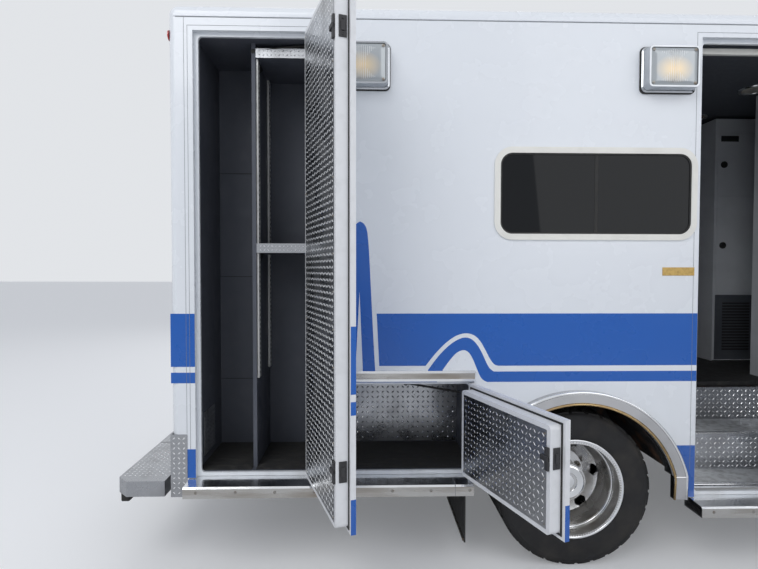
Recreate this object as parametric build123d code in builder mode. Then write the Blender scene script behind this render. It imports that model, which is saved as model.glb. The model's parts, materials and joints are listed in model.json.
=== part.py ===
from build123d import *
from collections import namedtuple
from math import cos, radians, sin
import os

# A truck-based ambulance with a modular patient body.
# X runs forward from the rear face of the module, Y from the centreline to the street side
# and Z up from the ground. Every finished piece is then shifted to the part's own origin,
# the middle of its footprint on the ground. Millimetres throughout.

os.makedirs("parts", exist_ok=True)

# Module body
module_length = 4180.0
module_half_width = 1219.0
module_top = 2845.0
roof_thickness = 68.0
roof_edge_radius = 50.0
wall = 45.0
corner_radius = 40.0
rear_skirt_bottom = 499.0
front_skirt_bottom = 375.0
floor_top = 815.0
floor_thickness = 55.0
liner = 20.0

# Axles and wheels
arch_pillar = 83.0
front_axle_reach = 687.0
tyre_radius = 403.5
tyre_width = 226.0
bead_radius = 248.0
flange_radius = 260.0
rim_sheet = 10.0
rear_track_half = 930.0
twin_spacing = 280.0
front_track_half = 880.0
kingpin_half = 765.0
hub_radius = 100.0
axle_radius = 62.0
fit_gap = 0.3

# Wheel arches
arch_centre_z = 369.0
arch_radius = 530.0
flare_outer_radius = 565.0
flare_inner_radius = 495.0
flare_proud = 42.0
tub_radius = 500.0
tub_inner_half = 645.0
front_arch_radius = 475.0
arch_sheet = 10.0
arch_liner_half = 560.0

# Doors of the module: outer skin, pan behind it and the running gaps round both
door_skin = 22.0
door_pan = 54.0
door_gap = 7.0
door_lip = 12.0
pan_gap = 10.0
seal_gap = 6.0
hinge_proud = 6.0
hinge_radius = 6.5
hinge_leaf = 26.0
hinge_sheet = 3.0
door_corner = 18.0
compartment_depth = 480.0
handle_level = 1180.0
handle_set = 45.0
handle_length = 130.0
handle_height = 70.0
handle_proud = 12.0
entry_window_margin = 150.0
entry_window_bottom = 1650.0
entry_window_top = 2400.0

# Door stations: gaps to the ends of the module and to each other, and the widths of the skins
door_bottom_clear = 6.0
door_top_drop = 138.0
tall_door_rear = 128.0
tall_door_width = 614.0
street_rear_width = 552.0
door_post = 73.0
arch_post = 14.0
lower_door_top = 974.0
entry_door_set = 728.0
entry_door_width = 784.0
forward_door_set = 100.0
forward_door_width = 550.0
plain_sill = door_lip + pan_gap
entry_sill = 42.0

# Tall compartment fittings
divider_x = 387.0
divider_sheet = 20.0
shelf_sheet = 6.0
shelf_lip = 48.0
shelf_level = 1630.0
shelf_top_gap = 85.0
track_width = 36.0
track_depth = 10.0
track_bottom = 980.0

# Step well of the entry
step_rise_low = 404.0
step_rise_mid = 607.0
step_depth_low = 286.0
step_depth_mid = 290.0
step_sheet = 8.0

# Side windows of the module
window_length = 1031.0
window_post = 23.0
window_bottom = 1695.0
window_top = 2159.0
window_frame = 30.0
window_proud = 8.0
window_radius = 90.0
glass_thickness = 8.0

# Rear doorway
rear_opening_half = 640.0
rear_opening_bottom = 800.0
rear_opening_drop = 205.0
rear_door_gap = 7.0
rear_window_bottom = 1700.0
rear_window_top = 2300.0
rear_window_margin = 110.0
pass_half = 250.0
pass_bottom = 1350.0
pass_top = 1800.0

# Lamps of the module
scene_lamp_length = 270.0
scene_lamp_height = 220.0
scene_lamp_depth = 62.0
lamp_flange = 12.0
lamp_taper = 12.0
scene_lamp_drop = 302.0
scene_lamp_set_rear = 208.0
scene_lamp_set_front = 186.0
warning_lamp_length = 180.0
warning_lamp_height = 120.0
warning_lamp_depth = 34.0
tail_lamp_z = 1000.0
tail_lamp_half = 960.0
tail_lamp_step = 190.0
tail_lamp_rows = 3
front_lamp_drop = 165.0
front_lamp_stations = (-1000.0, -500.0, 500.0, 1000.0)

# Rub rails and guards
rub_end_rear = 87.0
rub_end_arch = 11.0
rub_end_entry = 28.0
rub_end_front = 30.0
flare_clear = 17.0
drip_set_rear = 14.0
drip_set_front = 12.0
drip_rise = 63.0
drip_clear = 10.0
drip_lip = 12.0
drip_proud = 18.0
drip_sheet = 2.0
rub_proud = 100.0
rub_height = 62.0
rub_sheet = 8.0
guard_width = 80.0
guard_bottom = 405.0
guard_top = 720.0
guard_sheet = 3.0
flap_set = 575.0
flap_sheet = 8.0
flap_bottom = 130.0

# Frame of the chassis
rail_outer_half = 432.0
rail_width = 70.0
rail_height = 195.0
rail_sheet = 12.0
rail_rear_x = 45.0
cross_height = 70.0
cross_set_rear = 375.0
cross_set_tank = 605.0
cross_set_middle = 945.0
cross_set_cab = 30.0
cross_set_nose = 533.0

# Springs
spring_half = 500.0
spring_width = 64.0
spring_stack = 56.0
spring_reach = 680.0
front_spring_reach = 560.0

# Cab
cab_gap = 90.0
cab_length = 1370.0
cab_half_width = 1010.0
cab_top = 2050.0
cab_floor_bottom = 790.0
cab_floor_half = 800.0
cab_sill_bottom = 680.0
cab_wall = 60.0
cab_belt = 1430.0
cab_roof_half = 870.0
cab_roof_radius = 90.0
cab_skin = 24.0
cab_door_gap = 9.0
cab_door_rear_margin = 160.0
cab_door_step = 25.0
cab_door_lip = 19.0
screen_top_x = 640.0
screen_glass = 7.0

cab_door_top_margin = 95.0
pillar_width = 75.0
cab_sill = 40.0
window_border = 60.0
screen_rise = 70.0
screen_drop = 75.0
screen_bottom_half = 850.0
screen_top_half = 740.0

cab_hinge_levels = (850.0, 1200.0)
cab_hinge_height = 90.0
cab_hinge_set = 4.0
cab_handle_drop = 140.0
cab_handle_height = 40.0
glass_set = 14.0
mirror_set = 310.0
mirror_width = 90.0
mirror_depth = 240.0
mirror_height = 430.0
mirror_drop = 110.0
mirror_arm = 30.0

# Nose of the cab
nose_reach = 965.0
hood_over_belt = 10.0
nose_fall = 120.0
nose_round = 90.0
shoulder_fall = 260.0
fender_fall = 80.0
hood_crown_half = 620.0
lamp_depth = 90.0
grille_bar = 30.0
bumper_set_forward = 90.0
front_bumper_bottom = 520.0
front_bumper_top = 740.0
nose_sheet = 25.0
nose_half = 1020.0
nose_bottom = 560.0
hood_half = 790.0
hood_fall = 200.0
hood_gap = 8.0
hood_hinge_drop = 10.0
hood_hinge_half = 500.0
hood_hinge_length = 80.0
grille_half = 560.0
grille_bottom = 800.0
grille_fall = 260.0
grille_bars = 5
lamp_half_inner = 640.0
lamp_half_outer = 960.0
lamp_fall = 280.0
lamp_height = 220.0

# Inside fittings
cot_x = 1150.0
cot_spacing_x = 300.0
cot_spacing_y = 160.0
cot_hole_radius = 6.5
cabinet_clear = 2.0
cabinet_face = 600.0
cabinet_board = 16.0
counter_z = 1250.0
overhead_z = 1850.0
cabinet_drop = 105.0
tower_length = 520.0
aisle_half = 270.0
door_reveal = 8.0
street_corner_length = 392.0
curb_corner_length = 480.0
bench_post = 68.0
bench_face = 600.0
bench_z = 1250.0
bench_cushions = 3
cushion_gap = 12.0
cushion_thickness = 70.0
cushion_back = 420.0
seat_base = 300.0
seat_rise = 260.0
seat_length = 520.0
seat_half = 250.0
seat_thickness = 110.0
seat_back = 760.0
cab_seat_set = 450.0
cab_seat_half = 430.0
dash_half = 900.0
dash_drop = 30.0
dash_height = 350.0
dash_depth = 300.0
dash_slope = 60.0
column_tilt = 28.0
column_radius = 28.0
column_length = 170.0
steering_radius = 195.0
grip_radius = 15.0
grip_sides = 8

# Step bumper at the rear
bumper_depth = 250.0
bumper_space = 35.0
bumper_thickness = 78.0
bumper_top = 485.0
bumper_chamfer = 60.0
flip_half = 619.0
flip_gap = 6.0
bracket_bottom = 347.0
arm_reach = 330.0
step_eye = 16.0
step_axis_set = 13.0
step_pin = 6.0
step_boss = 10.5

bumper_bar_depth = 150.0

# Wheel details
bead_inset = 27.0
flange_seat = 11.0
rim_dish = 165.0
rim_face = 148.0
rim_web_depth = 45.0
rim_web = 216.0
rim_neck_depth = 105.0
rim_neck = 233.0
tread_inset = 18.0
hand_holes = 6
hand_hole_ring = 188.0
hand_hole_depth = 44.0
hand_hole_length = 66.0
hand_hole_corner = 17.0
hand_hole_turn = 8.0
drum_depth = 170.0
drum_radius = 190.0
rear_hub_reach = 150.0
front_disc_offset = 125.0
front_hub_reach = 90.0
front_drum_radius = 165.0
front_hub_radius = 85.0
knuckle_radius = 34.0
knuckle_half_height = 90.0
steer_gap = 6.0
eye_height = 34.0
beam_half = 34.0
beam_inset = 60.0
beam_drop = 130.0
beam_height = 90.0
diff_half = 190.0
diff_radius = 185.0
diff_shoulder = 150.0
diff_round = 60.0
diff_flat = 60.0

# Heavy masses and tanks
engine_length = 950.0
engine_half = 290.0
engine_bottom = 620.0
engine_fall = 240.0
gearbox_length = 780.0
gearbox_half = 180.0
gearbox_bottom = 480.0
gearbox_top = 770.0
tank_rear = 560.0
tank_axle_gap = 655.0
tank_half = 330.0
tank_bottom = 420.0
tank_top = 680.0

tank_round = 60.0
engine_space = 90.0
mount_offset = 500.0
radiator_setback = 230.0
radiator_depth = 60.0
radiator_half = 380.0
shaft_radius = 48.0
muffler_set = 1080.0
muffler_length = 800.0
muffler_radius = 100.0
exhaust_y = 262.0
exhaust_z = 560.0
tail_pipe_set = 635.0
tail_pipe_z = 470.0
pipe_radius = 36.0
pipe_bend = 90.0

# Steps under the cab doors
cab_step_set_rear = 150.0
cab_step_set_front = 200.0
cab_step_top = 400.0
cab_step_back = 780.0
cab_step_half = 1005.0
cab_step_lip = 30.0
cab_step_hang = 8.0
cab_step_bracket = 60.0

# Worked-out stations along the truck
entry_front = module_length - entry_door_set
entry_rear = entry_front - entry_door_width
forward_front = module_length - forward_door_set
forward_rear = forward_front - forward_door_width
rear_axle_x = entry_rear - arch_pillar - arch_radius
tall_front = tall_door_rear + tall_door_width
lower_rear = tall_front + door_post
lower_front = rear_axle_x - arch_radius - arch_post
window_front = entry_rear - window_post
window_rear = window_front - window_length
bench_front = entry_rear - bench_post
cab_rear_x = module_length + cab_gap
cowl_x = cab_rear_x + cab_length
front_axle_x = cowl_x + front_axle_reach
nose_x = front_axle_x + nose_reach
mirror_x = cowl_x - mirror_set
cab_seat_x = cab_rear_x + cab_seat_set
flap_x = rear_axle_x - flap_set
tank_front = rear_axle_x - tank_axle_gap
tail_pipe_x = rear_axle_x + tail_pipe_set
muffler_rear = module_length - muffler_set
scene_lamp_stations = (tall_front + scene_lamp_set_rear, entry_rear - scene_lamp_set_front)
cross_stations = (
    rail_rear_x + cross_set_rear,
    rear_axle_x - cross_set_tank,
    rear_axle_x + cross_set_middle,
    cab_rear_x + cross_set_cab,
    front_axle_x + cross_set_nose,
)

# Worked-out levels
wheel_z = tyre_radius
wall_top = module_top - roof_thickness
door_top = module_top - door_top_drop
rear_door_bottom = rear_skirt_bottom + door_bottom_clear
front_door_bottom = front_skirt_bottom + door_bottom_clear
shelf_levels = (shelf_level, door_top - shelf_top_gap)
rear_opening_top = module_top - rear_opening_drop
scene_lamp_z = module_top - scene_lamp_drop
front_lamp_z = module_top - front_lamp_drop
cabinet_top = module_top - cabinet_drop
drip_top = lower_door_top + drip_rise
drip_bottom = lower_door_top + drip_clear
floor_bottom = floor_top - floor_thickness
rail_bottom = floor_bottom - rail_height
screen_bottom = cab_belt + screen_rise
screen_top = cab_top - screen_drop
mirror_bottom = cab_belt - mirror_drop
nose_high = cab_belt + hood_over_belt
nose_low = nose_high - nose_fall
shoulder_z = nose_high - shoulder_fall
fender_top = nose_high - fender_fall
hood_line = nose_high - hood_fall
grille_top = nose_high - grille_fall
lamp_top = nose_high - lamp_fall
lamp_bottom = lamp_top - lamp_height
engine_top = nose_high - engine_fall
dash_top = cab_belt - dash_drop
dash_bottom = dash_top - dash_height

# Worked-out widths and depths
inner_half = module_half_width - wall
rebate = door_skin + seal_gap
door_depth = door_skin + door_pan
hinge_half = module_half_width + hinge_proud
reach_rear = -(bumper_space + bumper_depth)

# Side openings of the module: outer skin from rear to front edge and from bottom to top, the
# sill under the pan, how far the liner reaches past the skin, and the angle open at rest
SideDoor = namedtuple("SideDoor", "label side rear front bottom top sill past open")
curb, street = -1, 1
tall_door = SideDoor(
    "tall_door", curb, tall_door_rear, tall_front, rear_door_bottom, door_top, plain_sill, 8.0, 108.0)
lower_door = SideDoor(
    "lower_door", curb, lower_rear, lower_front, rear_door_bottom, lower_door_top, plain_sill, 4.0, 110.0)
entry_door = SideDoor(
    "entry_door", curb, entry_rear, entry_front, front_door_bottom, door_top, entry_sill, 0.0, 100.0)
forward_door = SideDoor(
    "forward_door", curb, forward_rear, forward_front, front_door_bottom, door_top, plain_sill, 28.0, 0.0)
street_rear_door = tall_door._replace(
    label="street_rear_door", side=street, front=tall_door_rear + street_rear_width, past=28.0, open=0.0)
street_front_door = forward_door._replace(label="street_front_door", side=street)
side_doors = [tall_door, lower_door, entry_door, forward_door, street_rear_door, street_front_door]
compartments = [tall_door, lower_door, forward_door, street_rear_door, street_front_door]

# Footprint: rear step to front bumper, and the opened entry door to the street mirror
mirror_reach = 1325.0
entry_swing = radians(entry_door.open)
entry_span = entry_door.front - entry_door.rear + hinge_radius
open_reach = hinge_half + entry_span * sin(entry_swing)
origin_x = (reach_rear + nose_x) / 2
origin_y = (mirror_reach - open_reach) / 2
to_origin = Location((-origin_x, -origin_y, 0))


def save(piece, label):
    """Write a finished piece, its solids shifted to the part's origin."""
    solids = [solid.moved(to_origin) for solid in piece.solids()]
    placed = solids[0] if len(solids) == 1 else Compound(solids)
    placed.label = label
    export_step(placed, f"parts/{label}.step")


def block(x, y, z, mode=Mode.ADD):
    """Block between two stations on each axis, given as pairs."""
    centre = ((x[0] + x[1]) / 2, (y[0] + y[1]) / 2, (z[0] + z[1]) / 2)
    with Locations(centre):
        Box(abs(x[1] - x[0]), abs(y[1] - y[0]), abs(z[1] - z[0]), mode=mode)


def panel(x, z, radius=0.0, mode=Mode.ADD):
    """Rectangle between two stations along and two heights, in a sketch on a side plane."""
    with Locations(((x[0] + x[1]) / 2, (z[0] + z[1]) / 2)):
        if radius > 0:
            RectangleRounded(x[1] - x[0], z[1] - z[0], radius, mode=mode)
        else:
            Rectangle(x[1] - x[0], z[1] - z[0], mode=mode)


def mirrored(piece):
    """The mirror image of a piece across the centreline."""
    return Compound([solid.mirror(Plane.XZ) for solid in piece.solids()])


def both_sides(piece):
    """The piece together with its mirror image across the centreline."""
    return Compound([*piece.solids(), *mirrored(piece).solids()])


# Side walls: skirt, wheel arch, compartment and entry openings, and the window


def side_wall(side):
    """Outer wall of one side, with a stepped opening for each door."""
    inner_plane = Plane.XZ.offset(inner_half if side == curb else -module_half_width)
    outer_plane = Plane.XZ.offset(module_half_width if side == curb else -module_half_width)
    rebate_depth = -rebate if side == curb else rebate
    doors = [door for door in side_doors if door.side == side]
    with BuildPart() as shell:
        with BuildSketch(inner_plane):
            with BuildLine():
                Polyline(
                    (0, rear_skirt_bottom),
                    (rear_axle_x, rear_skirt_bottom),
                    (rear_axle_x, front_skirt_bottom),
                    (module_length, front_skirt_bottom),
                    (module_length, wall_top),
                    (0, wall_top),
                    close=True,
                )
            make_face()
            with Locations((rear_axle_x, arch_centre_z)):
                Circle(arch_radius, mode=Mode.SUBTRACT)
            for door in doors:
                panel(
                    (door.rear + door_lip, door.front - door_lip),
                    (door.bottom + door_lip, door.top - door_lip),
                    door_corner,
                    Mode.SUBTRACT,
                )
            panel(
                (window_rear + window_frame, window_front - window_frame),
                (window_bottom + window_frame, window_top - window_frame),
                window_radius - window_frame,
                Mode.SUBTRACT,
            )
        extrude(amount=wall)
        with BuildSketch(outer_plane):
            for door in doors:
                panel(
                    (door.rear - door_gap, door.front + door_gap),
                    (door.bottom - door_gap, door.top + door_gap),
                )
        extrude(amount=rebate_depth, mode=Mode.SUBTRACT)
        outer_edges = shell.edges().filter_by(Axis.Z).group_by(Axis.Y)[0 if side == curb else -1]
        corners = outer_edges.sort_by(Axis.X)
        fillet([corners[0], corners[-1]], radius=corner_radius)
    return shell.part


curb_wall = side_wall(curb)
street_wall = side_wall(street)
save(curb_wall, "curb_wall")
save(street_wall, "street_wall")

# Rear wall with its double doorway, and front wall with the pass-through to the cab
with BuildPart() as rear_wall:
    with BuildSketch(Plane.YZ):
        panel((-inner_half, inner_half), (rear_skirt_bottom, wall_top))
        panel(
            (-rear_opening_half + door_lip, rear_opening_half - door_lip),
            (rear_opening_bottom + door_lip, rear_opening_top - door_lip),
            door_corner,
            Mode.SUBTRACT,
        )
    extrude(amount=wall)
    with BuildSketch(Plane.YZ):
        panel(
            (-rear_opening_half - door_gap, rear_opening_half + door_gap),
            (rear_opening_bottom - door_gap, rear_opening_top + door_gap),
        )
    extrude(amount=rebate, mode=Mode.SUBTRACT)
save(rear_wall.part, "rear_wall")

with BuildPart() as front_wall:
    with BuildSketch(Plane.YZ.offset(module_length - wall)):
        panel((-inner_half, inner_half), (front_skirt_bottom, wall_top))
        panel((-pass_half, pass_half), (pass_bottom, pass_top), door_corner, Mode.SUBTRACT)
        panel((-rail_outer_half - liner, rail_outer_half + liner), (front_skirt_bottom, floor_bottom),
              mode=Mode.SUBTRACT)
    extrude(amount=wall)
save(front_wall.part, "front_wall")

# Roof with rounded upper edges
with BuildPart() as module_roof:
    block((0, module_length), (-module_half_width, module_half_width), (wall_top, module_top))
    fillet(module_roof.edges().filter_by(Axis.Z), radius=corner_radius)
    fillet(module_roof.faces().sort_by(Axis.Z)[-1].edges(), radius=roof_edge_radius)
save(module_roof.part, "module_roof")

# Side compartments: open boxes of sheet behind the wall


def liner_span(door):
    """Stations and heights of the space behind a door, inside its liner."""
    along = (door.rear - door.past, door.front + door.past)
    return along, (door.bottom + door_lip, door.top - door_lip)


def compartment_box(door):
    """Liner of one compartment, open towards its door."""
    along, heights = liner_span(door)
    outer_y = door.side * inner_half
    back_y = door.side * (module_half_width - compartment_depth)
    with BuildPart() as box:
        block(
            (along[0] - liner, along[1] + liner),
            (outer_y, back_y - door.side * liner),
            (heights[0] - liner, heights[1] + liner),
        )
        block(along, (outer_y, back_y), heights, Mode.SUBTRACT)
    return box.part


tall_along, tall_heights = liner_span(tall_door)
tall_back = -(module_half_width - compartment_depth)
with BuildPart() as tall_compartment:
    add(compartment_box(tall_door))
    block((divider_x, divider_x + divider_sheet), (-inner_half + door_pan, tall_back), tall_heights)
    for level in shelf_levels:
        bay = (divider_x + divider_sheet, tall_along[1])
        front_y = -inner_half + door_pan
        block(bay, (front_y, tall_back), (level, level + shelf_sheet))
        block(bay, (front_y, front_y + shelf_sheet), (level, level + shelf_lip))
    for track_y in (-inner_half + door_pan + track_width, tall_back - track_width):
        for wall_x, depth in ((divider_x + divider_sheet, track_depth), (tall_along[1], -track_depth)):
            block(
                (wall_x, wall_x + depth),
                (track_y - track_width / 2, track_y + track_width / 2),
                (track_bottom, tall_heights[1] - liner),
            )
save(tall_compartment.part, "tall_compartment")

other_boxes = [compartment_box(door).solid() for door in compartments if door is not tall_door]
save(Compound(other_boxes), "side_compartments")

# Patient floor, notched for what passes through it, with the wheel tubs and the entry steps
with BuildPart() as module_floor:
    block((wall, module_length - wall), (-inner_half, inner_half), (floor_bottom, floor_top))
    for door in compartments:
        along, heights = liner_span(door)
        block(
            (along[0] - liner, along[1] + liner),
            (door.side * inner_half, door.side * (module_half_width - compartment_depth - liner)),
            (floor_bottom, floor_top),
            Mode.SUBTRACT,
        )
    block(
        (entry_door.rear + door_lip - step_sheet, entry_door.front - door_lip + step_sheet),
        (-inner_half, -(module_half_width - step_depth_low - step_depth_mid)),
        (floor_bottom, floor_top),
        Mode.SUBTRACT,
    )
    tub_width = inner_half - tub_inner_half
    for side in (curb, street):
        tub_plane = Plane.XZ.offset(-side * inner_half if side == street else tub_inner_half)
        with BuildSketch(tub_plane):
            with Locations((rear_axle_x, arch_centre_z)):
                Circle(tub_radius + liner)
            panel((rear_axle_x - tub_radius - liner, rear_axle_x + tub_radius + liner),
                  (arch_centre_z - tub_radius - liner, rear_skirt_bottom + liner), mode=Mode.SUBTRACT)
        extrude(amount=tub_width)
    for side in (curb, street):
        tub_plane = Plane.XZ.offset(-side * inner_half if side == street else tub_inner_half + liner)
        with BuildSketch(tub_plane):
            with Locations((rear_axle_x, arch_centre_z)):
                Circle(tub_radius)
        extrude(amount=tub_width - liner, mode=Mode.SUBTRACT)
    with BuildSketch(Plane.XY.offset(floor_bottom)):
        with Locations((cot_x, 0)):
            with GridLocations(cot_spacing_x, cot_spacing_y, 2, 2):
                Circle(cot_hole_radius)
    extrude(amount=floor_thickness, mode=Mode.SUBTRACT)
save(module_floor.part, "module_floor")

# Entry steps: two treads with their risers and side cheeks, in one folded profile
step_back_low = -(module_half_width - step_depth_low)
step_back_mid = -(module_half_width - step_depth_low - step_depth_mid)
with BuildPart() as entry_steps:
    with BuildSketch(Plane.YZ.offset(entry_door.rear + door_lip - step_sheet)):
        with BuildLine():
            Polyline(
                (-inner_half, step_rise_low),
                (step_back_low, step_rise_low),
                (step_back_low, step_rise_mid),
                (step_back_mid, step_rise_mid),
                (step_back_mid, floor_top),
                (step_back_mid - step_sheet, floor_top),
                (step_back_mid - step_sheet, step_rise_mid + step_sheet),
                (step_back_low - step_sheet, step_rise_mid + step_sheet),
                (step_back_low - step_sheet, step_rise_low + step_sheet),
                (-inner_half, step_rise_low + step_sheet),
                close=True,
            )
        make_face()
    extrude(amount=entry_door.front - entry_door.rear - 2 * door_lip + 2 * step_sheet)
    for cheek_x in (entry_door.rear + door_lip - step_sheet, entry_door.front - door_lip):
        with BuildSketch(Plane.YZ.offset(cheek_x)):
            with BuildLine():
                Polyline(
                    (-inner_half, step_rise_low),
                    (step_back_low, step_rise_low),
                    (step_back_low, step_rise_mid),
                    (step_back_mid, step_rise_mid),
                    (step_back_mid, floor_top),
                    (-inner_half, floor_top),
                    close=True,
                )
            make_face()
        extrude(amount=step_sheet)
save(entry_steps.part, "entry_steps")

# Hinged doors of the module: flat skin, deeper pan behind it and a hinge barrel at the front edge


def hinge_axis(door):
    """Upright hinge line of a side door."""
    return Axis((door.front + door_gap / 2, door.side * hinge_half, 0), (0, 0, 1))


def door_leaf(door, window=None):
    """One closed side door, with an optional window cut given by stations and heights."""
    sign = door.side
    skin_plane = Plane.XZ.offset(-sign * module_half_width)
    pan_plane = Plane.XZ.offset(-sign * (module_half_width - door_skin))
    axis = hinge_axis(door).position
    with BuildPart() as leaf:
        with BuildSketch(skin_plane):
            panel((door.rear, door.front), (door.bottom, door.top))
        extrude(amount=sign * door_skin)
        with BuildSketch(pan_plane):
            panel(
                (door.rear + door_lip + pan_gap, door.front - door_lip - pan_gap),
                (door.bottom + door.sill, door.top - door_lip - pan_gap),
                door_corner,
            )
        extrude(amount=sign * door_pan)
        block(
            (door.front - hinge_leaf, axis.X),
            (sign * module_half_width, sign * (module_half_width + hinge_sheet)),
            (door.bottom, door.top),
        )
        with BuildSketch(Plane.XY.offset(door.bottom)):
            with Locations((axis.X, axis.Y)):
                Circle(hinge_radius)
        extrude(amount=door.top - door.bottom)
        handle_z = min(handle_level, (door.bottom + door.top) / 2)
        block(
            (door.rear + handle_set, door.rear + handle_set + handle_length),
            (sign * module_half_width, sign * (module_half_width + handle_proud)),
            (handle_z - handle_height / 2, handle_z + handle_height / 2),
        )
        if window:
            with BuildSketch(skin_plane):
                panel(*window, door_corner)
            extrude(amount=sign * door_depth, mode=Mode.SUBTRACT)
    return leaf.part


def door_pane(door, window):
    """Pane that fills a window in a closed side door."""
    along, heights = window
    with BuildPart() as pane:
        with BuildSketch(Plane.XZ.offset(-door.side * (module_half_width - door_skin / 2))):
            panel(
                (along[0] + fit_gap, along[1] - fit_gap),
                (heights[0] + fit_gap, heights[1] - fit_gap),
                door_corner,
            )
        extrude(amount=door.side * glass_thickness)
    return pane.part


entry_window = (
    (entry_door.rear + entry_window_margin, entry_door.front - entry_window_margin),
    (entry_window_bottom, entry_window_top),
)
for door in side_doors:
    leaves = [door_leaf(door, entry_window if door is entry_door else None)]
    if door is entry_door:
        leaves.append(door_pane(door, entry_window))
    swung = [leaf.rotate(hinge_axis(door), -door.side * door.open).solid() for leaf in leaves]
    save(Compound(swung), door.label)

# Rear doors, each with a window, hinged at the outer edges of the doorway
rear_hinge_half = rear_opening_half + door_gap / 2
rear_leaf_inner = rear_door_gap / 2
rear_window = (rear_leaf_inner + rear_window_margin, rear_opening_half - rear_window_margin)
with BuildPart() as rear_door:
    with BuildSketch(Plane.YZ):
        panel((rear_leaf_inner, rear_opening_half), (rear_opening_bottom, rear_opening_top))
    extrude(amount=door_skin)
    with BuildSketch(Plane.YZ.offset(door_skin)):
        panel(
            (rear_leaf_inner + plain_sill, rear_opening_half - plain_sill),
            (rear_opening_bottom + plain_sill, rear_opening_top - plain_sill),
            door_corner,
        )
    extrude(amount=door_pan)
    block(
        (-hinge_sheet, 0),
        (rear_opening_half - hinge_leaf, rear_hinge_half),
        (rear_opening_bottom, rear_opening_top),
    )
    with BuildSketch(Plane.XY.offset(rear_opening_bottom)):
        with Locations((-hinge_proud, rear_hinge_half)):
            Circle(hinge_radius)
    extrude(amount=rear_opening_top - rear_opening_bottom)
    block(
        (-handle_proud, 0),
        (rear_leaf_inner + handle_set, rear_leaf_inner + handle_set + handle_length),
        (handle_level - handle_height / 2, handle_level + handle_height / 2),
    )
    with BuildSketch(Plane.YZ):
        panel(rear_window, (rear_window_bottom, rear_window_top), door_corner)
    extrude(amount=door_depth, mode=Mode.SUBTRACT)
with BuildPart() as rear_pane:
    with BuildSketch(Plane.YZ.offset(door_skin / 2)):
        panel(
            (rear_window[0] + fit_gap, rear_window[1] - fit_gap),
            (rear_window_bottom + fit_gap, rear_window_top - fit_gap),
            door_corner,
        )
    extrude(amount=glass_thickness)
rear_door_street = Compound([rear_door.part.solid(), rear_pane.part.solid()])
save(rear_door_street, "rear_door_street")
save(mirrored(rear_door_street), "rear_door_curb")

# Side windows: a proud frame on each wall and the pane inside it
with BuildPart() as window_ring:
    with BuildSketch(Plane.XZ.offset(module_half_width)):
        panel((window_rear, window_front), (window_bottom, window_top), window_radius)
        panel(
            (window_rear + window_frame, window_front - window_frame),
            (window_bottom + window_frame, window_top - window_frame),
            window_radius - window_frame,
            Mode.SUBTRACT,
        )
    extrude(amount=window_proud)
with BuildPart() as window_pane:
    with BuildSketch(Plane.XZ.offset(module_half_width - glass_thickness)):
        panel(
            (window_rear + window_frame + fit_gap, window_front - window_frame - fit_gap),
            (window_bottom + window_frame + fit_gap, window_top - window_frame - fit_gap),
            window_radius - window_frame,
        )
    extrude(amount=glass_thickness)
save(both_sides(Compound([window_ring.part.solid(), window_pane.part.solid()])), "module_windows")


# Lamps on the module: scene lamps on both sides, warning lamps near the corners, tail lamps


def lamp(plane, length, height, depth, edge):
    """One lamp: a thin flange on its plane and a lens that tapers forward from it."""
    with BuildPart() as body:
        with BuildSketch(plane):
            RectangleRounded(length, height, edge)
        extrude(amount=lamp_flange)
        with BuildSketch(plane.offset(lamp_flange)):
            Rectangle(length - 2 * edge, height - 2 * edge)
        extrude(amount=depth - lamp_flange, taper=lamp_taper)
    return body.part.solid()


lamp_edge = 20.0
side_face = Plane.XZ.offset(module_half_width)
side_lamps = [
    lamp(side_face.shift_origin((x, -module_half_width, scene_lamp_z)),
         scene_lamp_length, scene_lamp_height, scene_lamp_depth, lamp_edge)
    for x in scene_lamp_stations
]
front_face = Plane.YZ.offset(module_length)
front_lamps = [
    lamp(front_face.shift_origin((module_length, y, front_lamp_z)),
         warning_lamp_length, warning_lamp_height, warning_lamp_depth, lamp_edge)
    for y in front_lamp_stations
]
save(Compound([*both_sides(Compound(side_lamps)).solids(), *front_lamps]), "module_lamps")

rear_face = Plane(origin=(0, 0, 0), x_dir=(0, -1, 0), z_dir=(-1, 0, 0))
rear_lamps = [
    lamp(rear_face.shift_origin((0, side * tail_lamp_half, tail_lamp_z + row * tail_lamp_step)),
         warning_lamp_length, warning_lamp_height, warning_lamp_depth, lamp_edge)
    for side in (curb, street)
    for row in range(tail_lamp_rows)
]
save(Compound(rear_lamps), "tail_lamps")

# Polished trim: rub rail under the rear skirt, arch flare and corner guard on each side
RubRail = namedtuple("RubRail", "rear front top")
rub_stations = (
    RubRail(rub_end_rear, lower_front - rub_end_arch, rear_skirt_bottom),
    RubRail(entry_rear - rub_end_entry, module_length - rub_end_front, front_skirt_bottom),
)
rub_rails = []
for rail_rear, rail_front, rub_top in rub_stations:
    with BuildPart() as rub_rail:
        with BuildSketch(Plane.YZ.offset(rail_rear)):
            with BuildLine():
                Polyline(
                    (-inner_half, rub_top),
                    (-module_half_width - rub_proud + rub_sheet, rub_top - rub_sheet),
                    (-module_half_width - rub_proud, rub_top - 2 * rub_sheet),
                    (-module_half_width - rub_proud, rub_top - rub_height),
                    (-inner_half, rub_top - rub_height),
                    close=True,
                )
            make_face()
        extrude(amount=rail_front - rail_rear)
    rub_rails.append(rub_rail.part.solid())

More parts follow.
